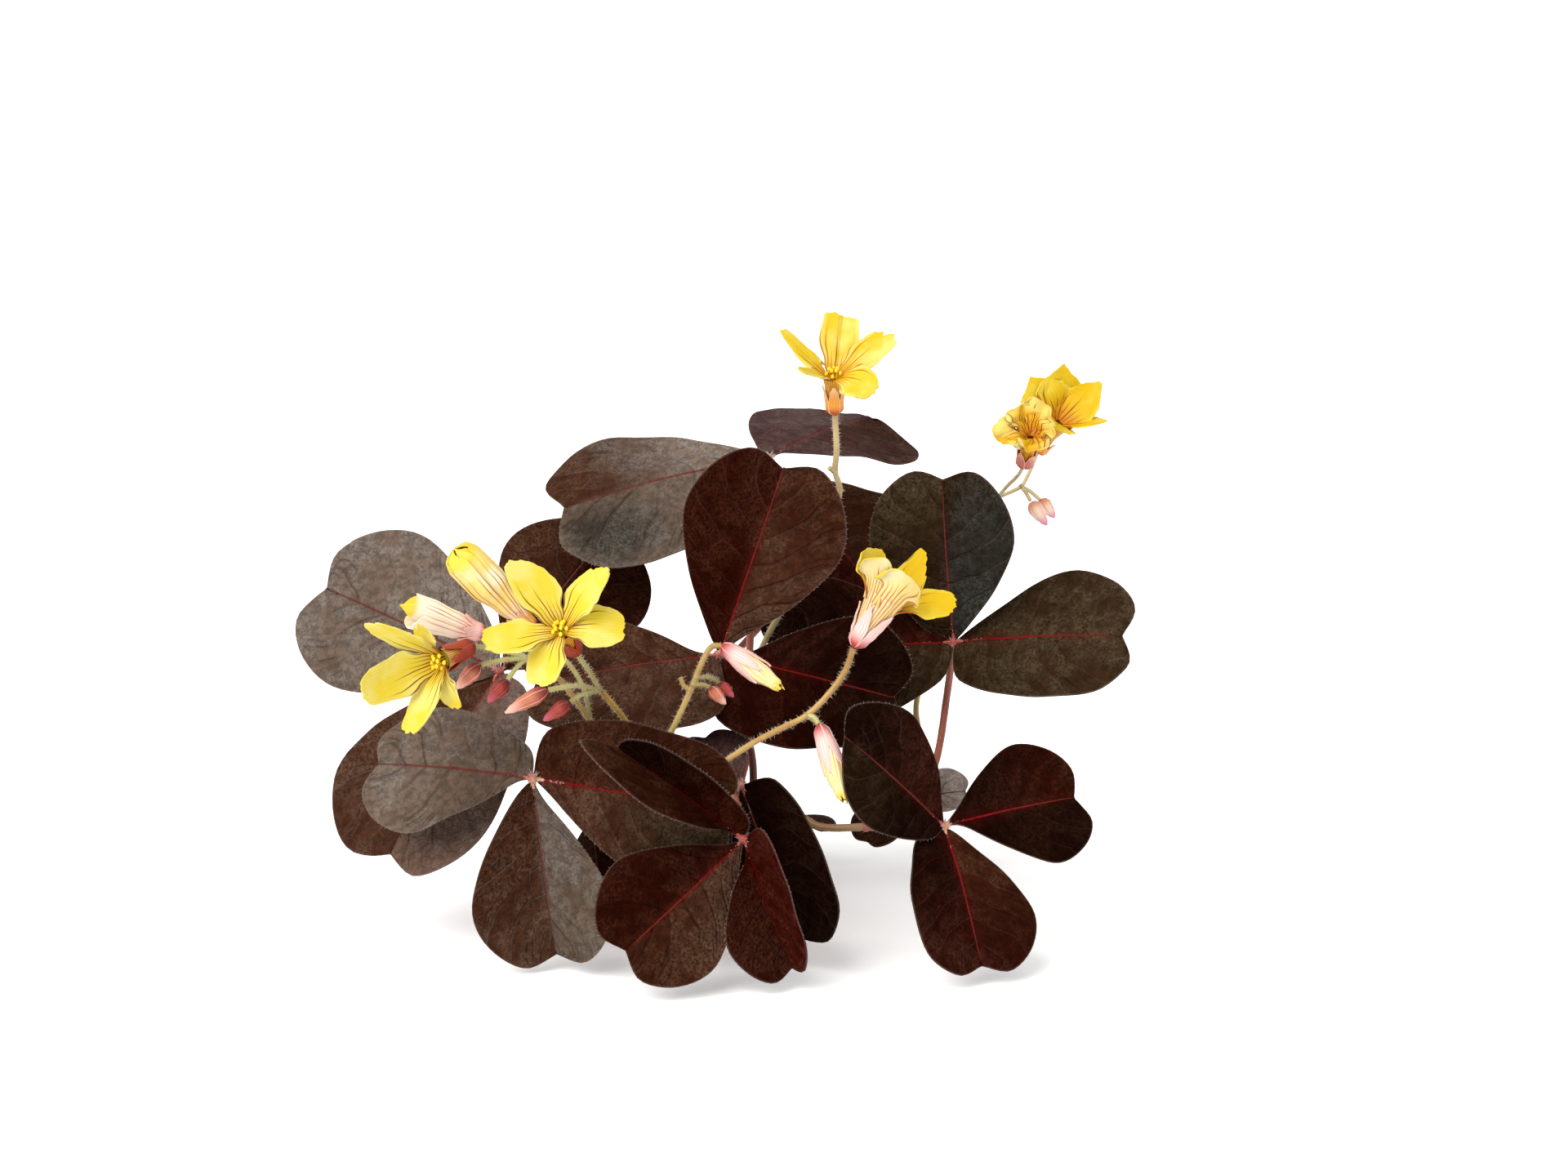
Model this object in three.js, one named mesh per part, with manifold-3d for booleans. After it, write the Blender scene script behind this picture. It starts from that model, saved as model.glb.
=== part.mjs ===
// A potted oxalis: wine-dark leaves of three notched leaflets and yellow flowers in a small clay pot.
// Millimetres, +Z up. The pot stands on z = 0 at the origin and the plant's front faces -Y.
import * as THREE from 'three';
import { mergeVertices } from 'three/addons/utils/BufferGeometryUtils.js';
import Module from 'manifold-3d';

const wasm = await Module();
wasm.setup();

// Clearance left between neighbouring pieces, and how close two points count as one
const gap = 0.3;
const samePlace = 1e-4;

// Pot
const potHeight = 16.5;
const potTopRadius = 14.2;
const potBaseRadius = 10.6;
const potWall = 1.6;
const potFloor = 2;
const potRimHeight = 4.2;
const potRimStep = 0.7;
const potChamfer = 0.5;
const potSegments = 30;
const drainHoles = 3;
const drainRadius = 1.1;
const drainCircle = 5.5;
const pinSides = 8;

// Soil
const soilEdgeHeight = 14;
const soilTopHeight = 15;
const soilFlat = 0.6;
const soilDip = 0.15;
const soilSegments = 20;
const crumbCount = 6;
const crumbRadius = 0.95;
const crumbTurn = 2.4;
const crumbSink = 0.3;
const soilFall = 0.05;
const rootPlay = 0.15;
const rootDepth = 3.4;

// Leaf blades
const bladeThickness = 0.6;
const leafletRows = 7;
const smallLeafletRows = 5;
const smallLeaflet = 17;
const leafletColumns = 2;
const leafHubRadius = 0.95;
const leafletArch = 0.035;

// Stems
const stemRadius = 0.6;
const stalkRadius = 0.5;
const pedicelRadius = 0.42;
const stemSides = 5;
const stemStep = 4;

// Flowers
const calyxWall = 0.5;
const calyxHeight = 2.9;
const sepalRise = 1.9;
const calyxRadius = 1.5;
const calyxFoot = 0.95;
const calyxFootHeight = 0.3;
const calyxShoulder = 0.6;
const calyxWiden = 0.16;
const calyxPlay = 0.42;
const sepalCount = 5;
const tubeStart = 1.25;
const tubeRadius = 0.62;
const throatRadius = 1.9;
const throatDepth = 0.8;
const petalThickness = 0.6;
const petalCup = 0.22;
const petalRootDepth = 1;
const petalBend = 1.2;
const petalRows = [0, 0.28, 0.55, 0.78, 0.93];
const rolledShoulder = 1.6;
const rolledPoint = 0.5;
const pointedPetalRows = [0, 0.35, 0.7];

const at = (place) => new THREE.Vector3(...place);

// Seeded random numbers from 0 to 1
function randomFrom(seed) {
  let state = seed;
  return () => {
    state = (state + 0x6d2b79f5) | 0;
    let mixed = Math.imul(state ^ (state >>> 15), 1 | state);
    mixed = (mixed + Math.imul(mixed ^ (mixed >>> 7), 61 | mixed)) ^ mixed;
    return ((mixed ^ (mixed >>> 14)) >>> 0) / 4294967296;
  };
}

// A closed solid from vertices and triangles, or from any closed geometry
function solidFrom(positions, triangles) {
  const vertProperties = Float32Array.from(positions);
  const triVerts = Uint32Array.from(triangles);
  return new wasm.Manifold(new wasm.Mesh({ numProp: 3, vertProperties, triVerts }));
}

function solidOf(geometry) {
  geometry.deleteAttribute('normal');
  geometry.deleteAttribute('uv');
  const merged = mergeVertices(geometry, samePlace);
  const corners = merged.index.array;
  const triangles = [];
  for (let i = 0; i < corners.length; i += 3) {
    const [a, b, c] = corners.slice(i, i + 3);
    if (a !== b && b !== c && c !== a) triangles.push(a, b, c);
  }
  return solidFrom(merged.attributes.position.array, triangles);
}

const fuse = (solids) => solids.reduce((whole, next) => whole.add(next));

const plant = new THREE.Group();

// Adds a solid to the plant as a named mesh
function addPiece(name, solid, look) {
  const { vertProperties, triVerts } = solid.getMesh();
  const geometry = new THREE.BufferGeometry();
  geometry.setAttribute('position', new THREE.BufferAttribute(Float32Array.from(vertProperties), 3));
  geometry.setIndex(new THREE.BufferAttribute(Uint32Array.from(triVerts), 1));
  geometry.computeVertexNormals();
  const mesh = new THREE.Mesh(geometry, look);
  mesh.name = name;
  plant.add(mesh);
}

const lookOf = (color, roughness) => new THREE.MeshStandardMaterial({ color, roughness, metalness: 0 });
const clayLook = lookOf(0xb5653f, 0.85);
const soilLook = lookOf(0x3a2a20, 0.95);
const leafLook = lookOf(0x2b1614, 0.55);
const stemLook = lookOf(0xb27a5c, 0.6);
const stalkLook = lookOf(0xb9a056, 0.6);
const petalLook = lookOf(0xf6d33a, 0.5);
const calyxLook = lookOf(0xa8432f, 0.6);
const budLook = lookOf(0xc4685a, 0.6);

// The two unit directions that lie across an axis
function acrossOf(axis) {
  const guide = Math.abs(axis.z) < 0.9 ? new THREE.Vector3(0, 0, 1) : new THREE.Vector3(1, 0, 0);
  const first = new THREE.Vector3().crossVectors(guide, axis).normalize();
  const second = new THREE.Vector3().crossVectors(axis, first);
  return [first, second];
}

// A blade of even thickness around a net of points: rows run along it, and an end row may be one point.
function bladeSolid(rows, thickness) {
  const points = rows.flat();
  const starts = [];
  rows.reduce((count, row) => {
    starts.push(count);
    return count + row.length;
  }, 0);
  const faces = [];
  for (let i = 0; i + 1 < rows.length; i += 1) {
    const here = rows[i].length;
    const next = rows[i + 1].length;
    for (let j = 0; j + 1 < Math.max(here, next); j += 1) {
      const a = starts[i] + Math.min(j, here - 1);
      const b = starts[i + 1] + Math.min(j, next - 1);
      const c = starts[i + 1] + Math.min(j + 1, next - 1);
      const d = starts[i] + Math.min(j + 1, here - 1);
      if (b !== c) faces.push([a, b, c]);
      if (a !== d) faces.push([a, c, d]);
    }
  }
  const sheet = new THREE.BufferGeometry().setFromPoints(points);
  sheet.setIndex(faces.flat());
  sheet.computeVertexNormals();
  const positions = [];
  for (const side of [0.5, -0.5]) {
    points.forEach((point, i) => {
      const normal = new THREE.Vector3().fromBufferAttribute(sheet.attributes.normal, i);
      positions.push(...point.clone().addScaledVector(normal, side * thickness));
    });
  }
  const last = rows.length - 1;
  const edge = [];
  for (let i = 0; i < last; i += 1) edge.push(starts[i]);
  for (let j = 0; j < rows[last].length; j += 1) edge.push(starts[last] + j);
  for (let i = last - 1; i > 0; i -= 1) edge.push(starts[i] + rows[i].length - 1);
  for (let j = rows[0].length - 1; j > 0; j -= 1) edge.push(j);
  const count = points.length;
  const triangles = [];
  for (const [a, b, c] of faces) triangles.push(a, b, c, a + count, c + count, b + count);
  edge.forEach((a, i) => {
    const b = edge[(i + 1) % edge.length];
    triangles.push(a, a + count, b + count, a, b + count, b);
  });
  return solidFrom(positions, triangles);
}

// A round solid of rings around an axis. Each ring says how far up and out it lies, how much further
// up its even points stand (rise), and how much nearer its odd points are drawn in (fold).
function ringSolid(base, tip, sides, rings, bottom, top) {
  const axis = tip.clone().sub(base).normalize();
  const [first, second] = acrossOf(axis);
  const points = [base.clone().addScaledVector(axis, bottom)];
  for (const { up, out, rise = 0, fold = 1 } of rings) {
    for (let k = 0; k < sides; k += 1) {
      const turn = (2 * Math.PI * k) / sides;
      const even = k % 2 === 0;
      const reach = even ? out : out * fold;
      const point = base.clone().addScaledVector(axis, even ? up + rise : up);
      point.addScaledVector(first, reach * Math.cos(turn));
      points.push(point.addScaledVector(second, reach * Math.sin(turn)));
    }
  }
  points.push(base.clone().addScaledVector(axis, top));
  const end = points.length - 1;
  const triangles = [];
  for (let k = 0; k < sides; k += 1) {
    const next = (k + 1) % sides;
    triangles.push(0, 1 + next, 1 + k);
    for (let ring = 0; ring + 1 < rings.length; ring += 1) {
      const low = 1 + ring * sides;
      const high = low + sides;
      triangles.push(low + k, low + next, high + next, low + k, high + next, high + k);
    }
    const rim = 1 + (rings.length - 1) * sides;
    triangles.push(end, rim + k, rim + next);
  }
  return solidFrom(points.flatMap((point) => [...point]), triangles);
}

// Round bar along a smooth curve through the given places
function tubeSolid(places, radius) {
  const route = new THREE.CatmullRomCurve3(places.map(at), false, 'centripetal');
  const section = new THREE.Shape(
    Array.from({ length: stemSides }, (_, k) => {
      const turn = (2 * Math.PI * k) / stemSides;
      return new THREE.Vector2(radius * Math.cos(turn), radius * Math.sin(turn));
    }),
  );
  const steps = Math.max(2, Math.round(route.getLength() / stemStep));
  return solidOf(new THREE.ExtrudeGeometry(section, { steps, extrudePath: route }));
}

// Turned solid from [radius, height] corners, standing along +Z
function turnedSolid(corners, segments) {
  const profile = corners.map(([radius, height]) => new THREE.Vector2(radius, height));
  return solidOf(new THREE.LatheGeometry(profile, segments).rotateX(Math.PI / 2));
}

function uprightPin(x, y, bottom, top, radius) {
  const pin = new THREE.CylinderGeometry(radius, radius, top - bottom, pinSides);
  return solidOf(pin.rotateX(Math.PI / 2).translate(x, y, (bottom + top) / 2));
}

// Outer and inner radius of the pot's slanted wall at a height
const potWiden = potTopRadius - potRimStep - potBaseRadius;
const potOuter = (height) => potBaseRadius + (potWiden * height) / potHeight;
const potInner = (height) => potOuter(height) - potWall;

function buildPot() {
  const rimFoot = potHeight - potRimHeight;
  const corners = [
    [0, 0],
    [potBaseRadius - potChamfer, 0],
    [potBaseRadius, potChamfer],
    [potOuter(rimFoot), rimFoot],
    [potOuter(rimFoot) + potRimStep, rimFoot + potRimStep],
    [potTopRadius, potHeight - potChamfer],
    [potTopRadius - potChamfer, potHeight],
    [potInner(potHeight) + potChamfer, potHeight],
    [potInner(potHeight), potHeight - potChamfer],
    [potInner(potFloor), potFloor],
    [0, potFloor],
  ];
  let pot = turnedSolid(corners, potSegments);
  for (let i = 0; i < drainHoles; i += 1) {
    const turn = (2 * Math.PI * i) / drainHoles;
    const x = drainCircle * Math.cos(turn);
    const y = drainCircle * Math.sin(turn);
    pot = pot.subtract(uprightPin(x, y, -1, potFloor + 1, drainRadius));
  }
  addPiece('pot', pot, clayLook);
}

// Leaves: where the three leaflets meet, and for each the notch at its tip, the way its upper surface
// faces and how far its halves fold up along the midrib, in degrees.
const leaves = [
  { name: 'centre', hub: [3.1, -6, 42.3], leaflets: [
    { tip: [12.5, -5, 69.6], face: [0, -1, 0.05], fold: 18, full: [0, 0.2] },
    { tip: [-23.8, -4.5, 37.4], face: [-0.15, -0.75, 0.65], fold: 8, wide: [0.78, 0.85], full: [-0.3, 3] },
    { tip: [28.8, -1, 34.6], face: [0.25, -0.9, 0.3], fold: 22, wide: [0.9, 0.9], full: [3, -0.4] },
  ] },
  { name: 'top', hub: [10.2, 14, 67.7], leaflets: [
    { tip: [-20.1, 10, 60.9], face: [-0.1, -0.55, 0.8], fold: -8, wide: [0.95, 1.06], full: [0.2, 1.4] },
    { tip: [26.2, 42, 69.2], face: [0.13, -0.13, 0.98], fold: -10, wide: [0.97, 1.09], full: [-0.4, 0.2],
      long: [-0.12, 0.05] },
    { tip: [27, 25, 44.6], face: [0.3, -0.95, -0.25], fold: 13, full: [0, -0.4] },
  ] },
  { name: 'left', hub: [-29.5, 2, 37.9], leaflets: [
    { tip: [-55.8, 10, 48.7], face: [0, -0.8, 0.55], fold: -3, wide: [1.08, 1.03], full: [0.6, 0.4] },
    { tip: [-44.7, -14, 14.4], face: [-0.3, -0.7, 0.65], fold: 8, full: [0.4, 1.4] },
    { tip: [-15.1, 17.5, 54.4], face: [0.05, -0.75, 0.65], fold: -8, wide: [1.08, 1.01], full: [0.4,
      -0.2] },
  ] },
  { name: 'front_left', hub: [-23.3, -22, 27.8], leaflets: [
    { tip: [-46, -14, 27.8], face: [-0.25, -0.65, 0.7], fold: -6, full: [1.2, -0.2] },
    { tip: [-20.1, -26, 2.9], face: [-0.15, -1, 0.15], fold: 24, full: [0.4, -0.2] },
    { tip: [3.9, -25, 24.2], face: [-0.05, -0.95, 0.2], fold: 14, wide: [0.98, 0.83], full: [0, 2] },
  ] },
  { name: 'front', hub: [6.9, -28, 20.5], leaflets: [
    { tip: [-10.6, -33.4, 35.1], face: [0.43, -0.88, 0.19], fold: 53, wide: [0.55, 0.97], full: [1.1, -0.4],
      long: [-0.05, 0.2] },
    { tip: [-9.5, -39, 7.4], face: [0.3, -0.9, 0.35], fold: 7, full: [-0.2, 0] },
    { tip: [13.8, -34.5, 3.4], face: [-0.35, -0.9, 0.2], fold: 47, full: [-0.4, 3] },
  ] },
  { name: 'low_front', hub: [6.5, -19, 26], leaflets: [
    { tip: [15.4, -25, 4.7], face: [-0.4, -0.9, 0.1], fold: 20, full: [0, 2] },
    { tip: [1.1, -10, 30.7], face: [0.1, -0.4, 0.9], fold: 8, full: [-0.4, 0] },
    { tip: [-1.8, -19, 6.7], face: [-0.6, -0.75, 0.25], fold: 24, full: [0, -0.4] },
  ] },
  { name: 'right', hub: [37.9, 6, 41.4], leaflets: [
    { tip: [35.9, 4, 66.2], face: [-0.3, -0.95, -0.1], fold: 16, wide: [1.09, 1.02], full: [0.2, 0.8] },
    { tip: [62.3, -1.5, 44], face: [-0.25, -0.65, 0.7], fold: 3, full: [1.8, 0] },
    { tip: [10.8, 7.5, 39.6], face: [-0.1, -0.9, 0.45], fold: -4, wide: [0.93, 1.03], full: [0, 1.2] },
  ] },
  { name: 'low_right', hub: [35.6, -19, 19.9], leaflets: [
    { tip: [21.4, -26, 34.8], face: [0.59, -0.78, 0.2], fold: 18, wide: [0.91, 1.07], full: [0.1, 0.9],
      long: [0.04, -0.1] },
    { tip: [54.9, -11, 22.1], face: [0.25, -0.75, 0.65], fold: 1, wide: [1.04, 1.07], full: [-0.4, 0] },
    { tip: [40.6, -32, 2.9], face: [0.35, -0.7, 0.65], fold: 10, full: [1.4, 0.2] },
  ] },
  { name: 'inner_left', hub: [-15.5, -15.5, 20.4], leaflets: [
    { tip: [-14, -18, 11], face: [0, -0.95, 0.25], fold: 14 },
    { tip: [-9.4, -16.5, 17], face: [-0.05, -0.95, 0.25], fold: 14 },
    { tip: [-9.8, -15.5, 25], face: [-0.3, -0.95, 0.25], fold: 14 },
  ] },
  { name: 'back_right', hub: [30.5, 26, 11.4], leaflets: [
    { tip: [40.6, 25, 13.4], face: [0.05, -0.55, 0.85], fold: 10 },
    { tip: [31.6, 37, 9.6], face: [0, 0, 1], fold: 14 },
    { tip: [25.4, 19, 7], face: [0.1, -0.35, 0.95], fold: 14 },
  ] },
  { name: 'high_back', hub: [22.7, 35, 52.5], leaflets: [
    { tip: [4.3, 42, 52.5], face: [0.31, 0.82, 0.47], fold: 16 },
    { tip: [41.5, 42, 49.9], face: [-0.24, 0.83, 0.5], fold: 16 },
    { tip: [23.6, 42, 32.8], face: [0, 0.94, 0.33], fold: 16 },
  ] },
  { name: 'low_back_left', hub: [-10.3, 28, 11.8], leaflets: [
    { tip: [-21.1, 40, 11.3], face: [-0.07, -0.02, 1], fold: 14 },
    { tip: [-3, 42, 8.1], face: [0.15, 0.18, 0.97], fold: 14 },
    { tip: [-9.9, 33, 2.5], face: [0, 0.88, 0.47], fold: 14 },
  ] },
  { name: 'low_back_right', hub: [9.5, 24, 9.6], leaflets: [
    { tip: [18.4, 31, 5.6], face: [0.25, 0.4, 0.9], fold: 14 },
    { tip: [3.5, 36, 8], face: [-0.1, 0.1, 1], fold: 14 },
    { tip: [11, 28, 1.6], face: [0, 0.95, 0.35], fold: 14 },
  ] },
];

// Half outline of a leaflet one unit long, from the hub round the lobe to the notch. A wide half is
// stretched sideways, a full half is rounder near the hub and a long half reaches further past the notch.
const leafletOutline = (wide, full, long) =>
  new THREE.SplineCurve([
    new THREE.Vector2(0, 0),
    new THREE.Vector2(0.12 - 0.035 * full, 0.085 * wide + 0.1 * full),
    new THREE.Vector2(0.38, 0.29 * wide + 0.07 * full),
    new THREE.Vector2(0.68 + 0.35 * long, 0.435 * wide),
    new THREE.Vector2(0.92 + 0.75 * long, 0.37 * wide),
    new THREE.Vector2(1.06 + long, 0.19 * wide),
    new THREE.Vector2(1, 0),
  ]);

function leafletSolid(hub, { tip, face, fold, wide = [1, 1], full = [0, 0], long = [0, 0] }) {
  const reach = at(tip).sub(hub);
  const length = reach.length();
  const along = reach.clone().normalize();
  const facing = at(face);
  const up = facing.clone().addScaledVector(along, -facing.dot(along)).normalize();
  const side = new THREE.Vector3().crossVectors(up, along);
  const foldAngle = THREE.MathUtils.degToRad(fold);
  const place = (s, t) => {
    const arch = leafletArch * 4 * s * (1 - s);
    const height = arch + Math.abs(t) * Math.sin(foldAngle);
    const point = hub.clone().addScaledVector(along, s * length);
    point.addScaledVector(side, t * Math.cos(foldAngle) * length);
    return point.addScaledVector(up, height * length);
  };
  const outlines = wide.map((width, half) => leafletOutline(width, full[half], long[half]));
  const rows = [[hub.clone()]];
  const rowCount = length < smallLeaflet ? smallLeafletRows : leafletRows;
  for (let i = 1; i < rowCount; i += 1) {
    const midrib = i / rowCount;
    const [left, right] = outlines.map((outline) => outline.getPointAt(midrib));
    const row = [];
    for (let j = -leafletColumns; j <= leafletColumns; j += 1) {
      const edge = j < 0 ? left : right;
      const share = Math.abs(j) / leafletColumns;
      row.push(place(THREE.MathUtils.lerp(midrib, edge.x, share), Math.sign(j) * share * edge.y));
    }
    rows.push(row);
  }
  rows.push([at(tip)]);
  return bladeSolid(rows, bladeThickness);
}

function buildLeaves() {
  for (const { name, hub, leaflets } of leaves) {
    const centre = at(hub);
    const knob = solidOf(new THREE.IcosahedronGeometry(leafHubRadius, 0).translate(...hub));
    const blades = leaflets.map((leaflet) => leafletSolid(centre, leaflet));
    addPiece(`leaf_${name}`, fuse([knob, ...blades]), leafLook);
  }
}

// Flowers: the foot of the calyx, the middle of the throat, and each petal's tip.
const flowers = [
  { name: 'main', base: [-16.8, -26.5, 47.4], mouth: [-18.6, -32.5, 52.1], petalWidth: 6,
    tips: [[-24.3, -33.5, 62.2], [-12.4, -33, 61], [-9.6, -32, 51.7], [-21.2, -35, 44.3],
      [-29.4, -36, 50.7]] },
  { name: 'left', base: [-31.4, -25, 47.9], mouth: [-35.7, -30.5, 46.9], petalWidth: 5.6,
    tips: [[-44.8, -35, 53.5], [-38.3, -30, 52.2], [-46.1, -38, 44.2], [-39.7, -36, 37.6],
      [-33.2, -31, 40.2]] },
  { name: 'top', base: [20, 2.1, 76.6], mouth: [19.8, 0.8, 82.5], petalWidth: 5.4,
    tips: [[21.1, 6, 90.6], [28.2, 3, 88.4], [25.1, -5.5, 80.7], [14.7, -6, 84.4], [12.4, 2, 88.8]] },
  { name: 'right', base: [22.6, -20, 46.7], mouth: [27.5, -19, 54.4], petalWidth: 6,
    tips: [[24.6, -17, 60.4], [32.6, -13.5, 59], [37.2, -18, 52.2], [30.4, -23, 57.6],
      [25.4, -22.5, 60]] },
  { name: 'star', base: [50.7, 16.7, 68.4], mouth: [54, 14.5, 73.7], petalWidth: 6.8, pointed: true,
    tips: [[54.5, 17.5, 81.8], [59.7, 15, 79.5], [60.6, 12, 73.4], [51.6, 8.5, 73.2], [49.3, 15.5, 79.9]] },
  { name: 'wilted', base: [48.1, 7.4, 67.9], mouth: [48.9, 4, 73.2], petalWidth: 4.6,
    tips: [[43.5, 1, 72.8], [46.3, 5, 76.3], [50, 7, 77.6], [52.3, 3, 73.8], [49.2, -3, 71.7]] },
];

// Flowers still rolled up: the foot of the calyx, the tip of the rolled petals and their greatest radius
const rolledFlowers = [
  { name: 'pale', base: [-30.3, -19, 48.3], tip: [-41.8, -23, 53.2], fullest: 1.9 },
  { name: 'tall', base: [-23.4, -17, 48.7], tip: [-34.2, -20, 60.8], fullest: 2.5 },
  { name: 'centre', base: [3.8, -14.5, 45.5], tip: [12.6, -18, 39.8], fullest: 1.3 },
  { name: 'hanging', base: [17.7, -22, 35.5], tip: [21.4, -29.5, 26], fullest: 1.4 },
];

const buds = [
  { name: 'low', base: [-21.1, -24, 41.2], tip: [-26.8, -26, 38.4], radius: 1.1 },
  { name: 'small_low', base: [-18, -23, 39.1], tip: [-21.5, -24, 36.8], radius: 0.9 },
  { name: 'left', base: [-30.6, -24, 44.8], tip: [-33.7, -25, 41.7], radius: 1.05 },
  { name: 'dark', base: [-26.9, -21, 41.8], tip: [-29.5, -22, 39], radius: 0.95 },
  { name: 'twin_left', base: [2, -16, 39.6], tip: [4.2, -17, 37.5], radius: 0.8 },
  { name: 'twin_right', base: [3.4, -14, 39.8], tip: [5.3, -15, 38.1], radius: 0.7 },
  { name: 'droop', base: [20.3, -16, 29.6], tip: [21.9, -17, 25.9], radius: 0.8 },
  { name: 'far', base: [49.7, 15, 60.8], tip: [52, 14, 57.6], radius: 1.1 },
  { name: 'far_back', base: [51.3, 18, 60.6], tip: [53.4, 18, 58], radius: 0.9 },
];

// Radius of the hollow inside the calyx, which widens towards the sepal tips
const calyxHollow = (up) => calyxRadius - calyxWall + Math.max(0, up - calyxHeight / 2) * calyxWiden;

// A cup of five pointed sepals
function calyxSolid(base, tip) {
  const waist = calyxHeight - calyxShoulder;
  const tipHollow = calyxHollow(calyxHeight + sepalRise);
  const rings = [
    { up: calyxFootHeight, out: calyxFoot },
    { up: 1, out: calyxRadius },
    { up: waist, out: calyxHollow(waist) + calyxWall },
    { up: calyxHeight, out: tipHollow + calyxWall, rise: sepalRise, fold: 0.9 },
    { up: calyxHeight, out: tipHollow, rise: sepalRise, fold: 0.86 },
    { up: waist, out: calyxHollow(waist) },
    { up: 1, out: calyxHollow(0) },
  ];
  return ringSolid(base, tip, 2 * sepalCount, rings, 0, tubeStart - gap);
}

// The funnel that the petals grow from, open at the throat
function funnelSolid(base, mouth) {
  const length = mouth.distanceTo(base);
  const sepalTop = calyxHeight + sepalRise;
  const neck = Math.min(sepalTop, length - throatDepth);
  const waist = calyxHeight - calyxShoulder;
  const rings = [
    { up: tubeStart, out: tubeRadius },
    { up: waist, out: calyxHollow(waist) - calyxPlay },
    { up: neck, out: calyxHollow(neck) - calyxPlay },
    { up: length, out: throatRadius },
    { up: length, out: throatRadius - petalThickness },
    { up: neck, out: calyxHollow(neck) - calyxPlay - petalThickness },
  ];
  return ringSolid(base, mouth, 2 * sepalCount, rings, tubeStart, calyxHeight);
}

// Share of a petal's half width at a share of its length
function petalWidthAt(share, pointed) {
  if (pointed) return Math.sin(Math.PI * (0.35 + 0.65 * share));
  return 0.3 * (1 - share) + Math.sin(Math.PI * share ** 1.6) ** 0.7;
}

function petalSolid(base, mouth, tip, petalWidth, pointed) {
  const axis = mouth.clone().sub(base).normalize();
  const reach = tip.clone().sub(mouth);
  const outward = reach.clone().addScaledVector(axis, -reach.dot(axis)).normalize();
  const side = new THREE.Vector3().crossVectors(axis, outward);
  const root = mouth.clone().addScaledVector(outward, throatRadius - petalThickness / 2);
  root.addScaledVector(axis, -petalRootDepth);
  const bend = mouth.clone().addScaledVector(outward, throatRadius + petalBend);
  bend.addScaledVector(axis, petalBend);
  const spine = new THREE.QuadraticBezierCurve3(root, bend, tip);
  const rows = (pointed ? pointedPetalRows : petalRows).map((share) => {
    const middle = spine.getPoint(share);
    const inner = new THREE.Vector3().crossVectors(side, spine.getTangent(share));
    const halfWidth = (petalWidth / 2) * petalWidthAt(share, pointed);
    return [-1, 0, 1].map((j) => {
      const point = middle.clone().addScaledVector(side, j * halfWidth);
      return point.addScaledVector(inner, -petalCup * halfWidth * Math.abs(j));
    });
  });
  rows.push([tip.clone()]);
  return bladeSolid(rows, petalThickness);
}

function buildFlowers() {
  for (const { name, base, mouth, tips, petalWidth, pointed = false } of flowers) {
    const foot = at(base);
    const throat = at(mouth);
    const petals = tips.map((tip) => petalSolid(foot, throat, at(tip), petalWidth, pointed));
    addPiece(`corolla_${name}`, fuse([funnelSolid(foot, throat), ...petals]), petalLook);
    addPiece(`calyx_${name}`, calyxSolid(foot, throat), calyxLook);
  }
}

function buildRolledFlowers() {
  for (const { name, base, tip, fullest } of rolledFlowers) {
    const foot = at(base);
    const end = at(tip);
    const length = end.distanceTo(foot);
    const sepalTop = calyxHeight + sepalRise;
    const rings = [
      { up: tubeStart, out: tubeRadius },
      { up: sepalTop, out: calyxHollow(sepalTop) - calyxPlay },
      { up: (sepalTop + length) / 2, out: fullest, fold: 0.82 },
      { up: length - rolledShoulder, out: fullest * 0.8, fold: 0.78 },
      { up: length - rolledPoint, out: fullest * 0.4, fold: 0.8 },
    ];
    addPiece(`corolla_${name}`, ringSolid(foot, end, 2 * sepalCount, rings, tubeStart, length), petalLook);
    addPiece(`calyx_${name}`, calyxSolid(foot, end), calyxLook);
  }
}

function buildBuds() {
  for (const { name, base, tip, radius } of buds) {
    const foot = at(base);
    const end = at(tip);
    const length = end.distanceTo(foot);
    const rings = [
      { up: 0.3, out: radius * 0.7 },
      { up: length * 0.3, out: radius, fold: 0.9 },
      { up: length * 0.65, out: radius * 0.72, fold: 0.86 },
    ];
    addPiece(`bud_${name}`, ringSolid(foot, end, 2 * sepalCount, rings, 0, length), budLook);
  }
}

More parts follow.
